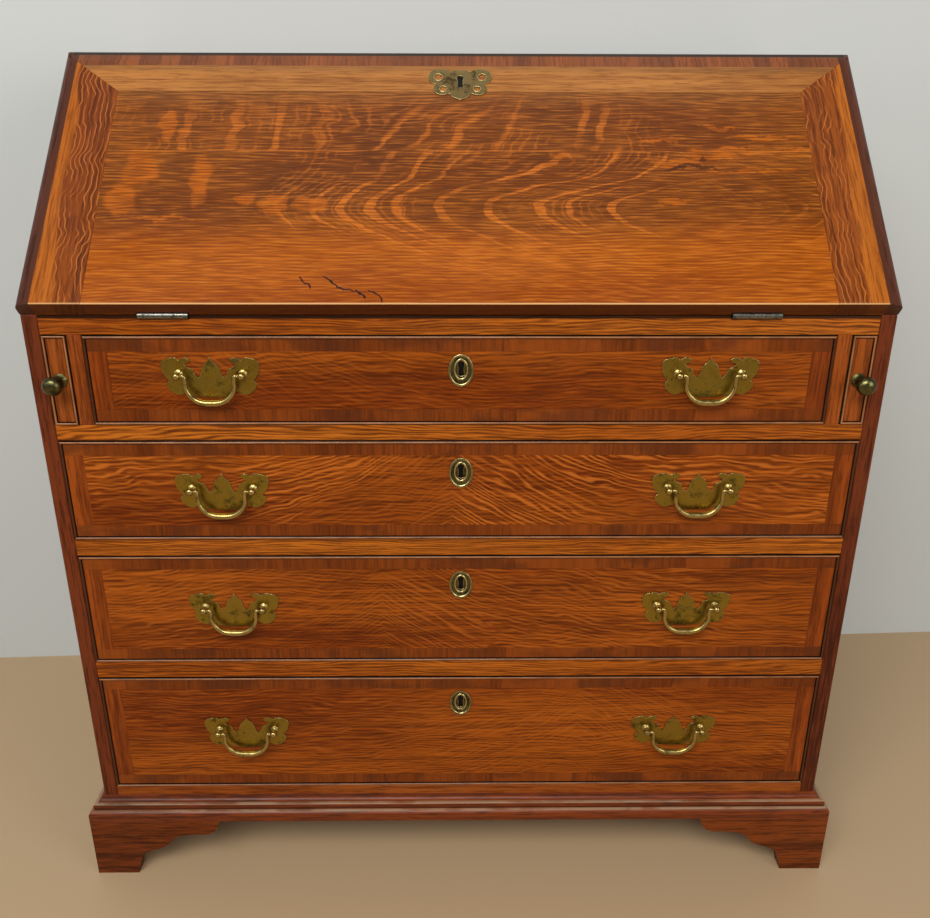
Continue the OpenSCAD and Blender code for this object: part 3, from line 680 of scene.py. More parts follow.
def add_board(bm, lo, hi, arris=0.6 * mm):
    """A board between two corners, with eased edges."""
    lo, hi = Vector(lo), Vector(hi)
    verts = bmesh.ops.create_cube(bm, size=1)["verts"]
    bmesh.ops.scale(bm, vec=hi - lo, verts=verts)
    bmesh.ops.translate(bm, vec=(lo + hi) / 2, verts=verts)
    ease(bm, list({edge for vert in verts for edge in vert.link_edges}), arris)


def new_verts(made):
    return [part for part in made["geom"] if isinstance(part, bmesh.types.BMVert)]


def add_run(bm, outline, length, place, mitres=(0, 0)):
    """A length of moulding along x with an outline (y, z). A mitre is its shift in x for a unit of y."""
    near = [bm.verts.new((0, out, up)) for out, up in outline]
    far = new_verts(bmesh.ops.extrude_face_region(bm, geom=[bm.faces.new(near)]))
    for verts, x, mitre in ((near, -length / 2, mitres[0]), (far, length / 2, mitres[1])):
        shear = at(x, 0, 0)
        shear[0][1] = mitre
        bmesh.ops.transform(bm, matrix=place @ shear, verts=verts)


def arc(centre, radius, start, end, steps):
    """Points (y, z) on part of a circle, with angles in degrees."""
    turns = [math.radians(start + (end - start) * i / steps) for i in range(steps + 1)]
    return [(centre[0] + radius * math.cos(t), centre[1] + radius * math.sin(t)) for t in turns]


def oval(half_x, half_z, steps=36):
    turns = [2 * math.pi * i / steps for i in range(steps)]
    return [(half_x * math.cos(t), half_z * math.sin(t)) for t in turns]


def moved(points, x, z):
    return [(px + x, pz + z) for px, pz in points]


def flowing(points, corners):
    """A closed line that flows through the points, and turns sharply at the corners."""
    count = len(points)
    points_each = 4
    line = []
    for i in range(count):
        before, here, there, after = (Vector((*points[(i + k) % count], 0)) for k in (-1, 0, 1, 2))
        leave = Vector() if i in corners else (there - before) / 6
        arrive = Vector() if (i + 1) % count in corners else (after - here) / 6
        stretch = geometry.interpolate_bezier(here, here + leave, there - arrive, there, points_each)
        line += [(p.x, p.y) for p in stretch[:-1]]
    return line


def both_halves(half):
    """A whole outline from its right half, which starts and ends on the middle line."""
    return half + [(-x, z) for x, z in reversed(half[1:-1])]


def add_plate(bm, outline, holes, thick, rim, place):
    """A flat plate with holes. It lies in x and z, its back is at y = 0 and it faces -y."""
    edges = []
    for ring in [outline] + holes:
        verts = [bm.verts.new((x, 0, z)) for x, z in ring]
        edges += [bm.edges.new((verts[i - 1], verts[i])) for i in range(len(verts))]
    filled = bmesh.ops.triangle_fill(bm, use_beauty=True, edges=edges)["geom"]
    faces = [part for part in filled if isinstance(part, bmesh.types.BMFace)]
    back = list({vert for face in faces for vert in face.verts})
    front = new_verts(bmesh.ops.extrude_face_region(bm, geom=faces))
    bmesh.ops.translate(bm, vec=(0, -thick, 0), verts=front)
    bmesh.ops.transform(bm, matrix=place, verts=back + front)
    if rim:
        bm.normal_update()
        flat = set(front)
        around = {edge for vert in front for edge in vert.link_edges}
        around = [e for e in around if set(e.verts) <= flat and e.calc_face_angle(0.0) > 1.0]
        ease(bm, around, rim)


def add_turned(bm, outline, place, steps, ring=False):
    """A turned piece: the outline (radius, height), in millimetres, is spun round z, then put in place."""
    turned = bmesh.new()
    verts = [turned.verts.new((radius, 0, height)) for radius, height in in_mm(outline)]
    pairs = list(zip(verts, verts[1:])) + ([(verts[-1], verts[0])] if ring else [])
    edges = [turned.edges.new(pair) for pair in pairs]
    bmesh.ops.spin(turned, geom=verts + edges, cent=(0, 0, 0), axis=(0, 0, 1), angle=2 * math.pi,
                   steps=steps, use_merge=True)
    bmesh.ops.remove_doubles(turned, verts=turned.verts, dist=merge)
    bmesh.ops.transform(turned, matrix=place, verts=turned.verts)
    carried = bpy.data.meshes.new("turned")
    turned.to_mesh(carried)
    turned.free()
    bm.from_mesh(carried)
    bpy.data.meshes.remove(carried)


def facing(x, y, z, spread=(1, 1)):
    """The place of a piece turned or laid in x and y, so that its height points out of the desk's front."""
    return at(x, y, z) @ Matrix.Rotation(quarter, 4, "X") @ Matrix.Diagonal((*spread, 1, 1))


def add_frame_of_bead(bm, lo, hi, back, outline):
    """Four mitred runs of bead round a front, between its corners (x, z). back is the y behind the bead."""
    middle = ((lo[0] + hi[0]) / 2, (lo[1] + hi[1]) / 2)
    out = Vector((0, -1, 0))
    for inward, length, x, z in (
        (Vector((0, 0, 1)), hi[0] - lo[0], middle[0], lo[1]),
        (Vector((0, 0, -1)), hi[0] - lo[0], middle[0], hi[1]),
        (Vector((1, 0, 0)), hi[1] - lo[1], lo[0], middle[1]),
        (Vector((-1, 0, 0)), hi[1] - lo[1], hi[0], middle[1]),
    ):
        turn = Matrix((inward.cross(out), inward, out)).transposed().to_4x4()
        add_run(bm, outline, length, at(x, back, z) @ turn, (1, -1))


def cut_off(bm, point, away):
    """Cuts away what lies past a plane, and closes the cut."""
    bmesh.ops.bisect_plane(bm, geom=bm.verts[:] + bm.edges[:] + bm.faces[:], plane_co=point, plane_no=away,
                           clear_outer=True)
    bmesh.ops.holes_fill(bm, edges=[edge for edge in bm.edges if edge.is_boundary])


def cad_copy(node):
    bm = bmesh.new()
    bm.from_mesh(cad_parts[node].data)
    bmesh.ops.remove_doubles(bm, verts=bm.verts, dist=cad_merge)
    return bm


def eased_copy(node, arris):
    """A copy of a CAD board with its joinery and with eased edges."""
    bm = cad_copy(node)
    bmesh.ops.dissolve_limit(bm, angle_limit=math.radians(1), verts=bm.verts, edges=bm.edges)
    if arris:
        ease(bm, [edge for edge in bm.edges if edge.calc_face_angle(0.0) > 0.5], arris, 1)
    return bm


def core_of_front(node):
    """The board behind the veneers: the CAD front, cut back to the glue line."""
    bm = cad_copy(node)
    bmesh.ops.bisect_plane(bm, geom=bm.verts[:] + bm.edges[:] + bm.faces[:],
                           plane_co=(0, front_y + veneer, 0), plane_no=(0, -1, 0), clear_outer=True)
    bmesh.ops.triangle_fill(bm, use_beauty=True, edges=[edge for edge in bm.edges if edge.is_boundary])
    bmesh.ops.dissolve_limit(bm, angle_limit=math.radians(1), verts=bm.verts, edges=bm.edges)
    return bm


def add_object(name, data):
    made = bpy.data.objects.new(name, data)
    bpy.context.scene.collection.objects.link(made)
    return made


def piece(bm, name, finish, body, nodes=(), crease=32.0):
    """Makes a bmesh a finished piece, which rides on a body and stands for its CAD nodes."""
    bmesh.ops.remove_doubles(bm, verts=bm.verts, dist=merge)
    bmesh.ops.recalc_face_normals(bm, faces=bm.faces)
    mesh = bpy.data.meshes.new(name)
    bm.to_mesh(mesh)
    bm.free()
    mesh.shade_smooth()
    mesh.set_sharp_from_angle(angle=math.radians(crease))
    mesh.materials.append(finish)
    made = add_object(name, mesh)
    even = made.modifiers.new("even_shading", "WEIGHTED_NORMAL")
    even.keep_sharp = True
    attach(made, body)
    if nodes:
        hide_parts(*nodes)
    return made


def second_finish(made, finish, chosen):
    """Gives a second finish to the chosen faces of a piece."""
    made.data.materials.append(finish)
    for face in made.data.polygons:
        if chosen(face):
            face.material_index = 1


def rub_and_highlight_rims(made, face_way):
    """The bevels round a brass plate are bright: partly rubbed, partly a painted highlight."""
    second_finish(made, brass_rubbed_highlit, lambda face: 0.1 < face.normal.dot(Vector(face_way)) < 0.97)


def refinish(names, finish):
    """Gives CAD nodes whose shape is right their finish."""
    for name in names:
        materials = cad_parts[name].data.materials
        materials.clear()
        materials.append(finish)


# ---- Carcass ----

def make_boards():
    boards = [
        ("side_left", "side_left_board", side_oak, "oak_dark", 1.2),
        ("side_right", "side_right_board", side_oak, "oak_dark", 1.2),
        ("top_board", "polished_top", top_oak, "oak_show", 0.7),
        ("writing_bed", "bed_board", rail_oak, "oak_show", 0.7),
        ("drawer_rails", "rail_boards", rail_oak, "oak_show", 0.7),
        ("loper_partitions", "upright_boards", upright_oak, "oak_show", 0.7),
        ("back_boards", "back_planks", dry_oak["x"], "oak_inside", 0.7),
        ("drawer_runners", "runner_strips", dry_oak["y"], "oak_inside", 0.7),
        ("carcass_bottom", "bottom_boards", strip_oak, "oak_inside", 0.7),
        ("pigeonhole_case", "pigeonhole_boards", valance_oak, "oak_inside", 0.5),
    ]
    for node, name, finish, slot, arris in boards:
        piece(eased_copy(node, arris * mm), name, finish, "carcass", [node])


def moulding_outline():
    """The base moulding, as (out, up): an ovolo, a ledge with a small quirk and a cove under the carcass."""
    ovolo = arc((12, 9), 6, 0, 90, 8)
    lip = arc((10, 21), 2, 0, 90, 4)
    cove = arc((8.5, 29.5), 6.5, 270, 184, 8)
    return in_mm([(0, 0), (18, 0)] + ovolo + lip + cove + [(0, 30)])


def make_base_moulding():
    gap = 0.15 * mm
    bm = bmesh.new()
    place = at(0, front_y, foot_h) @ Matrix.Scale(-1, 4, (0, 1, 0))
    add_run(bm, moulding_outline(), 2 * half_w - gap, place, (-1, 1))
    piece(bm, "base_moulding_front", moulding_front_oak, "carcass", ["base_moulding"])
    middle_y = (front_y + back_y) / 2
    for side, sign in sides:
        bm = bmesh.new()
        turn = Matrix(((0, sign, 0, sign * half_w), (1, 0, 0, middle_y), (0, 0, 1, foot_h), (0, 0, 0, 1)))
        add_run(bm, moulding_outline(), back_y - front_y - gap, turn, (-1, 0))
        piece(bm, "base_moulding_" + side, moulding_side_oak, "carcass")


# A bracket foot: distance from its outer corner, height.
bracket = flowing(in_mm([
    (0, 0), (55, 0), (57, 10), (60, 22), (66, 33), (76, 38.5), (88, 42), (99, 48), (107, 57),
    (116, 63), (132, 65.5), (150, 66), (160, 68), (168, 76), (172, 88), (0, 88),
]), (0, 1, 14, 15))


def make_foot(end, side, sign):
    """Two bracket boards, mitred at the front, with a plain board instead at the back, and a glue block."""
    node = f"foot_{end}_{side}"
    thick, back_w, block_w = 20 * mm, 120 * mm, 52 * mm
    lo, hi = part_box(node)
    inward = 1 if end == "front" else -1
    corner = Vector((lo.x if sign < 0 else hi.x, lo.y if end == "front" else hi.y, 0))

    def span(near, far):
        """The two x of a board that lies between two distances from the outer corner."""
        return sorted((corner.x - sign * near, corner.x - sign * far))

    face = bmesh.new()
    if end == "front":
        place = at(*corner) @ Matrix.Diagonal((-sign, 1, 1, 1)) @ at(0, thick, 0)
        add_plate(face, bracket, [], thick, 0, place)
        cut_off(face, corner - Vector((sign * hair, 0, 0)), (sign, 1, 0))
    else:
        near, far = span(thick + 0.2 * mm, back_w)
        add_board(face, (near, corner.y - thick, 0), (far, corner.y, foot_h))
    piece(face, node + "_face", foot_front_oak, "carcass", [node])
    cheek = bmesh.new()
    turn = Matrix(((0, -sign, 0, corner.x), (inward, 0, 0, corner.y), (0, 0, 1, 0), (0, 0, 0, 1)))
    add_plate(cheek, bracket, [], thick, 0, turn @ at(0, thick, 0))
    if end == "front":
        cut_off(cheek, corner, (-sign, -1, 0))
    piece(cheek, node + "_cheek", foot_side_oak, "carcass")
    block = bmesh.new()
    inside = thick + 0.3 * mm
    near, far = span(inside, block_w)
    front, back = sorted((corner.y + inward * inside, corner.y + inward * block_w))
    add_board(block, (near, front, 1 * mm), (far, back, foot_h), 2 * mm)
    piece(block, node + "_block", dry_oak["z"], "carcass")


# ---- Fall ----

def on_moulded_edge(face):
    centre = fall_place.inverted() @ face.center
    return abs(centre.x) > edge_x - 0.5 * mm and centre.z > 2 * mm


def make_cleat(side, sign):
    """An end cleat: its moulded run, with a mitre against the top cleat and a rounded lower corner."""
    high = fall_face - 0.4 * mm
    section = [
        (mitre_x, fall_gap), (mitre_x, high), (mitre_x + 0.4 * mm, fall_face),
        (edge_x - 0.3 * mm, fall_face), (edge_x, fall_face - 0.3 * mm), (edge_x, fall_face - edge_step),
    ]
    section += arc((half_w - edge_r, fall_face - edge_step - edge_r), edge_r, 90, 0, 8)
    section += [(half_w, fall_gap)]
    reach = fall_len + fall_t + 10 * mm
    bm = bmesh.new()
    place = Matrix(((0, sign, 0, 0), (1, 0, 0, (reach + fall_foot) / 2), (0, 0, 1, 0), (0, 0, 0, 1)))
    add_run(bm, section, reach - fall_foot, place)
    cut_off(bm, (sign * mitre_x, mitre_y - hair, 0), (-sign * top_cleat_w, cleat_w, 0))
    bm.normal_update()
    corner_r = 4 * mm
    corner = [e for e in bm.edges if all(abs(v.co.y - fall_foot) < cad_merge for v in e.verts)
              and any(abs(abs(v.co.x) - half_w) < edge_r + hair for v in e.verts)
              and all(v.co.z > fall_gap + hair for v in e.verts)]
    ease(bm, corner, corner_r, 4)
    bmesh.ops.transform(bm, matrix=fall_place, verts=bm.verts)
    cut_off(bm, (0, 0, top_z), (0, 0, 1))
    node = "fall_cleat_" + side
    made = piece(bm, node + "_board", cleat_oak(side, sign), "fall", [node])
    second_finish(made, edge_oak, on_moulded_edge)


def make_fall():
    bm = eased_copy("fall_panel", 0.6 * mm)
    piece(bm, "fall_field", fall_field_oak(), "fall", ["fall_panel"])
    for side, sign in sides:
        make_cleat(side, sign)
    bm = eased_copy("fall_top_cleat", 0)
    made = piece(bm, "fall_top_cleat_board", top_cleat_oak, "fall", ["fall_top_cleat"])
    second_finish(made, edge_oak, on_moulded_edge)


# ---- Drawers and sliding supports ----

bead_round = arc((bead / 2, veneer + bead_out - bead / 2), bead / 2, 180, 0, 8)
bead_outline = [(0, 0), (0, veneer + 0.5 * mm)] + bead_round + [(bead, 0)]
# The gap between the bead and the crossbands, where the core's painted shade shows.
bead_gap = 0.7 * mm

# The opening in a drawer's escutcheon: round at the top, wider again at its foot.
keyhole = flowing(in_mm(both_halves(
    [(0, 11.5), (2.6, 10.6), (3.6, 8), (3.2, 5), (2.8, 1), (3.2, -3), (3.4, -5.6), (0, -6.5)],
)), (6, 8))


def make_drawer_front(number, body):
    """The core, the veneered field, the bands round it and the mitred cockbead."""
    node = body + "_front"
    lo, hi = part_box(node)
    x1, z0, z1 = hi.x, lo.z, hi.z
    piece(core_of_front(node), body + "_core", drawer_core_oak, body, [node])
    top_band, end_band, edge = 14 * mm, 21 * mm, bead + bead_gap
    in_x, in_z0, in_z1 = x1 - edge, z0 + edge, z1 - edge
    field_x, field_z0, field_z1 = in_x - end_band, in_z0 + top_band, in_z1 - top_band
    back = front_y + veneer
    bm = bmesh.new()
    outline = [(-field_x, field_z0), (field_x, field_z0), (field_x, field_z1), (-field_x, field_z1)]
    add_plate(bm, outline, [moved(keyhole, 0, z1 - key_drop)], veneer, veneer_arris, at(0, back, 0))
    # The middle line of the ray flecks and their strength, drawer by drawer.
    middle, flecks = ((-300 * mm, 0.2), (-10 * mm, 0.8), (-95 * mm, 0.4), (150 * mm, 0.25))[number - 1]
    piece(bm, body + "_field", drawer_oak(number, middle, flecks), body)
    bm = bmesh.new()
    for low, high in ((in_z0, field_z0 - hair), (field_z1 + hair, in_z1)):
        add_board(bm, (-in_x, front_y, low), (in_x, back, high), veneer_arris)
    piece(bm, body + "_long_bands", crossband_long, body)
    bm = bmesh.new()
    for low, high in ((-in_x, -field_x - hair), (field_x + hair, in_x)):
        add_board(bm, (low, front_y, field_z0), (high, back, field_z1), veneer_arris)
    piece(bm, body + "_end_bands", crossband_end, body)
    bm = bmesh.new()
    add_frame_of_bead(bm, (-x1, z0), (x1, z1), back, bead_outline)
    beads = piece(bm, body + "_cockbead", bead_oak, body, crease=50)
    # The upright beads at the ends take the copy with the weaker painted highlight.
    second_finish(beads, bead_end_oak, lambda face: abs(face.center.x) > x1 - bead)


def add_keyhole_shade(bm, thick, place):
    """A plate of painted shade behind a keyhole, a little larger than the hole."""
    add_plate(bm, [(x * 1.08, z * 1.03) for x, z in keyhole], [], thick, 0, place)


def make_drawer_lock(body):
    """The rimmed escutcheon, a plate of painted shade behind its keyhole, the lock case and its bolt."""
    z1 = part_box(body + "_front")[1].z
    key_z = z1 - key_drop
    half_x, half_z = 14, 18.5
    bm = bmesh.new()
    add_plate(bm, in_mm(oval(half_x, half_z)), [keyhole], 1.1 * mm, 0.4 * mm, at(0, front_y, key_z))
    rim = [(14, 0.9), (13.9, 1.6), (13.3, 2.0), (12.6, 1.9), (12.0, 1.4), (11.7, 0.9)]
    add_turned(bm, rim, facing(0, front_y, key_z, (1, half_z / half_x)), 40, ring=True)
    ridge = [(9.4, 0.9), (9.0, 1.5), (8.4, 1.7), (7.8, 1.5), (7.3, 0.9)]
    add_turned(bm, ridge, facing(0, front_y, key_z + 1 * mm, (0.86, 1.36)), 40, ring=True)
    plate = piece(bm, body + "_escutcheon", brass_dull, body, [body + "_brass"], crease=50)
    rub_and_highlight_rims(plate, (0, -1, 0))
    bm = bmesh.new()
    add_keyhole_shade(bm, 0.5 * mm, at(0, front_y + 1.1 * mm, key_z))
    piece(bm, body + "_keyhole_shade", shadow, body)
    bm = bmesh.new()
    wide, bolt, gap = 30 * mm, 10.3 * mm, 0.05 * mm
    back, deep, bolt_y = front_y + 20 * mm, front_y + 8.6 * mm, front_y + 15.5 * mm
    low, high, tall = z1 - 58 * mm, z1 - 36 * mm, z1 - 0.2 * mm
    add_board(bm, (-wide, deep, low), (wide, back, high), 0.8 * mm)
    for left, right in ((-wide, -bolt), (bolt, wide)):
        add_board(bm, (left, deep, high + gap), (right, back, tall), 0.5 * mm)
    add_board(bm, (-bolt + gap, bolt_y, high + gap), (bolt - gap, back, tall), 0.3 * mm)
    piece(bm, body + "_lock_case", brass_dull, body)
    refinish([body + "_lock_bolt"], brass)


half_plate = in_mm([
    (0, 18.5), (3.5, 13), (7, 10.5), (9.5, 6), (11, 0), (14, -5), (18, -0.5), (20, 5), (25.5, 7.5),
    (28.5, 11.5), (24.5, 12.5), (21.5, 16), (27, 18.5), (34.5, 15.5), (38.5, 18.5), (47.5, 17),
    (52.5, 14.5), (54, 9.5), (51.5, -1), (45.5, -8), (49.5, -11), (48, -17), (42, -22.5),
    (35, -24), (27, -20), (19.5, -25.5), (0, -27.5),
])
half_corners = (0, 2, 5, 9, 11, 13, 19, 24)
plate_count = 2 * len(half_plate) - 2
plate_corners = half_corners + tuple(plate_count - i for i in half_corners if i)
backplate = flowing(both_halves(half_plate), plate_corners)
post_outline = [
    (0, 1.3), (5.4, 1.3), (5.4, 2.2), (4.6, 3.0), (3.0, 3.6), (2.3, 4.8), (2.3, 6.3), (3.1, 7.0),
    (4.1, 8.4), (4.6, 10.2), (4.5, 12), (3.7, 13.8), (2.2, 14.9), (0, 15.3),
]
shank_outline = [(0, -25), (2.4, -25), (2.4, 1.4), (0, 1.4)]
# The right half of a bail: across, up and radius, in millimetres.
half_bail = [
    (0, -31.2, 3.8), (7, -31.0, 3.75), (14, -29.2, 3.4), (20.5, -24.8, 3.0), (25, -18.6, 2.7),
    (26.9, -12.5, 2.5), (26.9, -6.5, 2.5), (27.2, -2.2, 2.5), (28.6, 0.2, 2.4), (30.2, 0, 1.9),
    (34.5, 0, 1.5),
]


def make_handle(body, side):
    """A batwing backplate, two turned posts with their nuts inside, and a swelling bail."""
    bail_node = f"{body}_bail_{side}"
    lo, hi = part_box(bail_node)
    x, z = (lo.x + hi.x) / 2, hi.z - bail_r
    bm = bmesh.new()
    add_plate(bm, backplate, [], 1.5 * mm, 0.8 * mm, at(x, front_y, z))
    plate = piece(bm, f"{body}_backplate_{side}", brass, body, crease=50)
    rub_and_highlight_rims(plate, (0, -1, 0))
    bm = bmesh.new()
    nut, nut_y0, nut_y1 = 5 * mm, front_y + 20.3 * mm, front_y + 23.3 * mm
    for post_x in (x - post_pitch / 2, x + post_pitch / 2):
        add_turned(bm, post_outline, facing(post_x, front_y, z), 20)
        add_turned(bm, shank_outline, facing(post_x, front_y, z), 12)
        add_board(bm, (post_x - nut, nut_y0, z - nut), (post_x + nut, nut_y1, z + nut))
    piece(bm, f"{body}_posts_{side}", brass_bail, body, crease=50)
    make_bail(bail_node, x, z)


def make_bail(node, x, z):
    way = [(-px, pz, radius) for px, pz, radius in reversed(half_bail[1:])] + half_bail
    curve = bpy.data.curves.new(node, "CURVE")
    curve.dimensions = "3D"
    curve.bevel_depth = 1 * mm
    curve.bevel_resolution = 4
    curve.resolution_u = 5
    curve.use_fill_caps = True
    line = curve.splines.new("BEZIER")
    line.bezier_points.add(len(way) - 1)
    for point, (px, pz, radius) in zip(line.bezier_points, way):
        point.co = (x + px * mm, front_y - post_out, z + pz * mm)
        point.handle_left_type = "AUTO"
        point.handle_right_type = "AUTO"
        point.radius = radius
    bent = add_object("bent", curve)
    bm = bmesh.new()
    bm.from_mesh(bent.evaluated_get(bpy.context.evaluated_depsgraph_get()).to_mesh())
    bpy.data.objects.remove(bent)
    bpy.data.curves.remove(curve)
    piece(bm, node + "_bar", brass_bail, node, [node], crease=60)


def make_drawer(number):
    body = f"drawer_{number}"
    make_drawer_front(number, body)
    box = body + "_box"
    piece(eased_copy(box, 0.8 * mm), body + "_boards", dry_oak["y"], body, [box])
    make_drawer_lock(body)
    for side in dict(sides):
        make_handle(body, side)


def make_loper(side):
    """A sliding support: its board, an upright-grained facing in a bead, and a turned knob."""
    node = "loper_" + side
    lo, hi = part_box(node)
    back = front_y + veneer
    piece(core_of_front(node), node + "_board", loper_core_oak, node, [node])
    bm = bmesh.new()
    add_frame_of_bead(bm, (lo.x, lo.z), (hi.x, hi.z), back, bead_outline)
    piece(bm, node + "_bead", bead_oak, node, crease=50)
    bm = bmesh.new()
    inside = bead + bead_gap
    add_board(bm, (lo.x + inside, front_y, lo.z + inside), (hi.x - inside, back, hi.z - inside), 0.1 * mm)
    piece(bm, node + "_facing", loper_oak, node)
    bm = bmesh.new()
    knob_lo, knob_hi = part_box(node + "_knob")
    outline = [
        (0, -18), (4, -18), (4, 0), (8, 0.1), (8.2, 1.2), (6.8, 2.4), (4.6, 4), (3.8, 8), (4.0, 12.5),
        (5.8, 16.5), (9.2, 19.2), (10.6, 21.6), (10.75, 23), (10, 25.6), (8, 27.9), (5, 29.4), (0, 30),
    ]
    place = facing((knob_lo.x + knob_hi.x) / 2, front_y, (knob_lo.z + knob_hi.z) / 2)
    add_turned(bm, outline, place, 32)
    piece(bm, node + "_knob_turned", brass_dull, node, [node + "_knob"], crease=50)


# ---- Fitted interior ----

thin_t = 6 * mm
middle_w = 200 * mm
hole_post = (middle_w + thin_t) / 2
hole_pitch = (inner_w - hole_post) / 3
valance_h = 37.8 * mm


def valance_outline(width):
    """A shaped valance over a pigeonhole: two curves that rise to a small point in the middle."""
    half = [
        (0, 31), (0.07, 27), (0.16, 25.5), (0.25, 22), (0.31, 15), (0.34, 9), (0.40, 6), (0.45, 2), (0.5, 0),
    ]
    points = [(x * width, z * mm) for x, z in half] + [(0.5 * width, valance_h), (0, valance_h)]
    edge = flowing(points, (0, 5, 8, 9, 10))
    right = [(x, z) for x, z in edge if z < valance_h - 0.01 * mm and x > 0]
    left = [(-x, z) for x, z in reversed(right)]
    return [(0, 31 * mm)] + right + [(0.5 * width, valance_h), (-0.5 * width, valance_h)] + left


def make_valances():
    bm = bmesh.new()
    for i in range(-3, 4):
        if i:
            start = hole_post + (abs(i) - 1) * hole_pitch + thin_t / 2
            end = inner_w if abs(i) == 3 else start + hole_pitch - thin_t
            middle = math.copysign((start + end) / 2, i)
        else:
            start, end, middle = -middle_w / 2, middle_w / 2, 0
        place = at(middle, case_y + 12 * mm, top_under - 38 * mm)
        add_plate(bm, valance_outline(end - start - 0.6 * mm), [], thin_t, 0.4 * mm, place)
    piece(bm, "pigeonhole_valances", valance_oak, "carcass", ["pigeonhole_arches"])


def make_small_drawer(number):
    """A small drawer: an eased box, a beaded front and a turned knob."""
    node = f"small_drawer_{number}"
    lo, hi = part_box(node)
    front, wall, margin = 8 * mm, 5 * mm, 5 * mm
    y0, y1, z0, z1 = case_y + front + 0.2 * mm, hi.y, lo.z, hi.z
    x0, x1 = lo.x + 0.5 * mm, hi.x - 0.5 * mm
    in_x0, in_x1 = x0 + wall + hair, x1 - wall - hair
    bm = bmesh.new()
    for x in (x0, x1 - wall):
        add_board(bm, (x, y0, z0), (x + wall, y1, z1 - 2 * mm))
    add_board(bm, (in_x0, y0, z0 + 1 * mm), (in_x1, y1, z0 + 5 * mm), 0.2 * mm)
    add_board(bm, (in_x0, y1 - wall, z0 + 5.2 * mm), (in_x1, y1, z1 - 4 * mm))
    piece(bm, node + "_box", dry_oak["y"], node, [node])
    bm = bmesh.new()
    add_board(bm, (lo.x, case_y, z0), (hi.x, case_y + front, z1), 0.5 * mm)
    thin = in_mm([(0, 0), (0, 0.5)] + arc((0.9, 0.5), 0.9, 180, 0, 6) + [(1.8, 0)])
    corners = (lo.x + margin, z0 + margin), (hi.x - margin, z1 - margin)
    add_frame_of_bead(bm, *corners, case_y + 0.2 * mm, thin)
    piece(bm, node + "_front", small_front_oak, node)
    bm = bmesh.new()
    outline = [
        (0, -13), (2.2, -13), (2.2, 0), (3.6, 0.1), (3.6, 0.8), (2.3, 1.8), (1.9, 4.2), (2.8, 5.8),
        (4.3, 7.6), (4.5, 9.4), (4.0, 11.4), (2.6, 12.9), (0, 13.5),
    ]
    add_turned(bm, outline, facing((lo.x + hi.x) / 2, case_y, (z0 + z1) / 2), 20)
    piece(bm, node + "_knob", brass, node, crease=50)


# ---- Brass and iron of the fall ----

def make_fall_escutcheon():
    half = in_mm([
        (0, 20), (6, 21), (11, 17.5), (17, 21), (27, 22), (35, 18), (38, 10), (35, 2), (29, -1.5), (32, -8),
        (29, -15), (21, -18), (13, -15.5), (9, -21), (0, -25),
    ])
    points = both_halves(half)
    corners = (2, 8, 12, 14, len(points) - 2, len(points) - 8, len(points) - 12)
    lay_flat = Matrix(((1, 0, 0, 0), (0, 0, 1, fall_key), (0, -1, 0, fall_face), (0, 0, 0, 1)))
    place = fall_place @ lay_flat
    # The four holes: across, up, their radius, and the radius of the ring round each.
    right_rings = [(26, 9, 4.7, 5.2), (20, -9, 3.9, 4.4)]
    rings = [(-x, z, hole, ring) for x, z, hole, ring in right_rings] + right_rings
    holes = [keyhole] + [in_mm(moved(oval(hole, hole, 16), x, z)) for x, z, hole, ring in rings]
    bm = bmesh.new()
    add_plate(bm, flowing(points, corners), holes, 1.3 * mm, 0.4 * mm, place)
    for x, z, hole, ring in rings:
        section = arc((ring, 1.2), 0.6, 0, 330, 11)
        add_turned(bm, section, place @ facing(x * mm, 0, z * mm), 20, ring=True)
    plate = piece(bm, "fall_escutcheon_plate", brass_brown, "fall", ["fall_escutcheon"], crease=50)
    rub_and_highlight_rims(plate, fall_place.to_3x3() @ Vector((0, 0, 1)))
    bm = bmesh.new()
    # Painted shade behind the fall's keyhole.
    add_keyhole_shade(bm, 0.4 * mm, place @ at(0, 0.2 * mm, 0))
    piece(bm, "fall_keyhole_shade", shadow, "fall")


def make_hinge_screws():
    """Three countersunk screws in each leaf."""
    head = [(0, -1.2), (1.6, -1.2), (3.2, 0.05), (3.0, 0.2), (0, 0.25)]
    leaf_x, leaf_mid, pitch = 321 * mm, 16 * mm, 17 * mm
    on_bed = at(0, front_y + leaf_mid, desk_z)
    on_fall = fall_place @ at(0, leaf_mid, fall_gap) @ Matrix.Rotation(math.pi, 4, "X")
    for body, name, place in (("carcass", "bed", on_bed), ("fall", "fall", on_fall)):
        bm = bmesh.new()
        for sign in (-1, 1):
            for step in (-1, 0, 1):
                add_turned(bm, head, place @ at(sign * leaf_x + step * pitch, 0, 0), 16)
        piece(bm, name + "_hinge_screws", steel, body)


# ---- Camera, light and floor ----

def make_camera():
    yaw, pitch, roll = (math.radians(a) for a in (0.68, 21.82, 0.17))
    ahead = Vector((math.sin(yaw) * math.cos(pitch), math.cos(yaw) * math.cos(pitch), -math.sin(pitch)))
    right = Vector((math.cos(yaw), -math.sin(yaw), 0))
    up = right.cross(ahead)
    right, up = right * math.cos(roll) + up * math.sin(roll), up * math.cos(roll) - right * math.sin(roll)
    data = bpy.data.cameras.new("camera")
    data.lens = 36
    data.sensor_width = 36
    camera = add_object("camera", data)
    camera.matrix_world = at(-0.0071, -1.2262, 0.9968) @ Matrix((right, up, -ahead)).transposed().to_4x4()
    bpy.context.scene.camera = camera


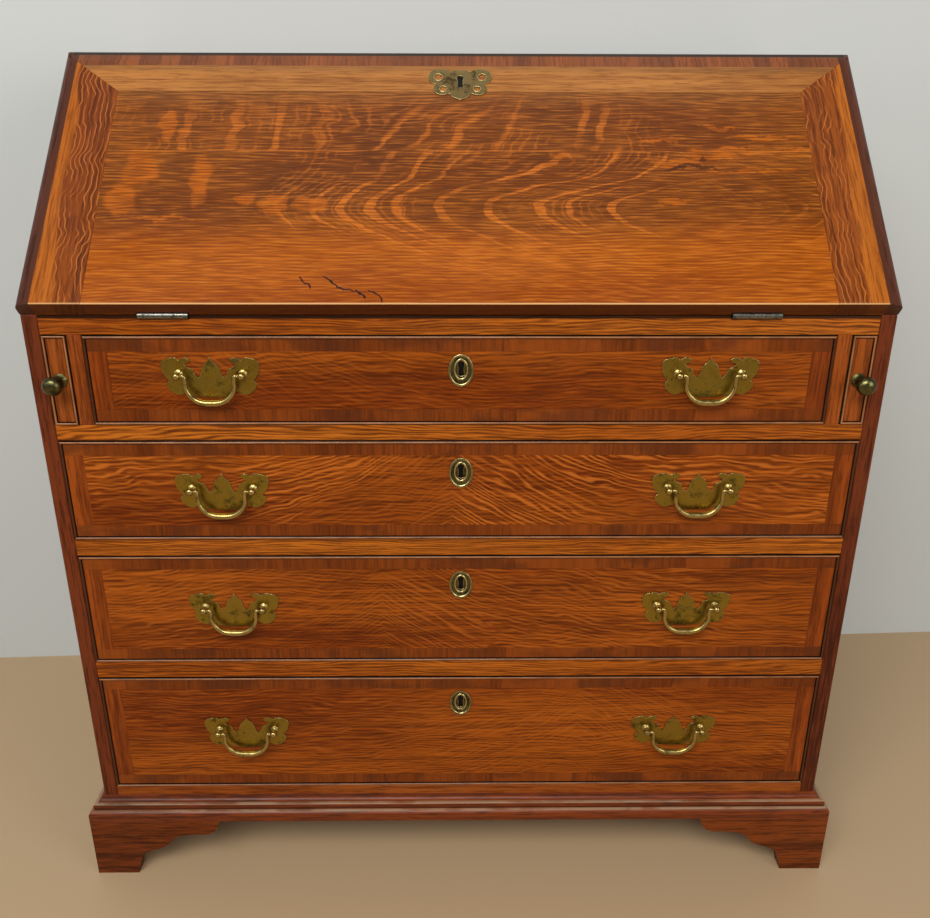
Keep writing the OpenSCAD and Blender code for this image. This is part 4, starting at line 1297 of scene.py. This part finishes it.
def make_lamp(name, place, aim, width, height, power, colour):
    data = bpy.data.lights.new(name, "AREA")
    data.shape = "RECTANGLE"
    data.size = width
    data.size_y = height
    data.energy = power
    data.color = colour
    way = Vector(aim) - Vector(place)
    add_object(name, data).matrix_world = at(*place) @ way.to_track_quat("-Z", "Y").to_matrix().to_4x4()


def make_sheet(name, finish, place):
    """A large flat sheet of the studio."""
    bm = bmesh.new()
    bmesh.ops.create_grid(bm, x_segments=1, y_segments=1, size=4)
    bmesh.ops.transform(bm, matrix=place, verts=bm.verts)
    mesh = bpy.data.meshes.new(name)
    bm.to_mesh(mesh)
    bm.free()
    mesh.materials.append(finish)
    return add_object(name, mesh)


def make_studio():
    """The floor, the wall, which is clear from behind, the lamps and the light of the room."""
    floor_finish = Finish("floor_pale", 0.55, coat=0.0, shine=0.5)
    floor_finish.give("Base Color", paint(184, 157, 122))
    wall_finish = Finish("wall_pale", 0.8, coat=0.0, shine=0.5)
    wall_finish.give("Base Color", paint(200, 205, 204))
    tree = wall_finish.tree
    behind = add_node("NewGeometry", {}, tree).outputs["Backfacing"]
    clear = add_node("BsdfTransparent", {}, tree).outputs[0]
    seen = add_node("MixShader", {0: behind, 1: wall_finish.shader.outputs[0], 2: clear})
    tree.links.new(seen.outputs[0], tree.nodes["Material Output"].inputs["Surface"])
    floor = make_sheet("floor", floor_finish.material, Matrix.Identity(4))
    wall_turn = Matrix.Rotation(math.radians(2.5), 4, "Z") @ Matrix.Rotation(quarter, 4, "X")
    wall = make_sheet("wall", wall_finish.material, at(0, back_y + 37 * mm, 0) @ wall_turn)
    make_lamp("ceiling_light", (-0.7, -2.6, 2.9), (0, -0.1, 0.6), 2.4, 1.4, 99, (1.0, 0.98, 0.95))
    make_lamp("window_light", (-2.6, -1.8, 1.7), (0, 0, 0.6), 1.6, 1.6, 11, (0.94, 0.97, 1.0))
    make_lamp("room_light", (2.2, -2.2, 1.5), (0, 0, 0.5), 1.6, 1.6, 27, (1.0, 0.95, 0.9))
    make_lamp("top_light", (0, 0.1, 2.7), (0, 0, 1.0), 1.8, 0.5, 4, (1.0, 1.0, 1.0))
    world = bpy.data.worlds.new("room")
    world.use_nodes = True
    background = world.node_tree.nodes["Background"]
    background.inputs["Color"].default_value = paint(226, 230, 232)
    background.inputs["Strength"].default_value = 0.22
    bpy.context.scene.world = world
    bpy.context.scene.view_settings.view_transform = "Standard"


make_camera()
make_boards()
make_base_moulding()
for end in ("front", "back"):
    for side, sign in sides:
        make_foot(end, side, sign)
make_fall()
make_fall_escutcheon()
make_hinge_screws()
for number in range(1, 5):
    make_drawer(number)
for side in dict(sides):
    make_loper(side)
make_valances()
for number in range(1, 6):
    make_small_drawer(number)
refinish(["hinge_bed_leaves", "fall_hinge_leaves"], steel)
refinish(["hinge_pins", "fall_lock"], iron)
refinish(["fall_lock_bolt"], brass)
make_studio()
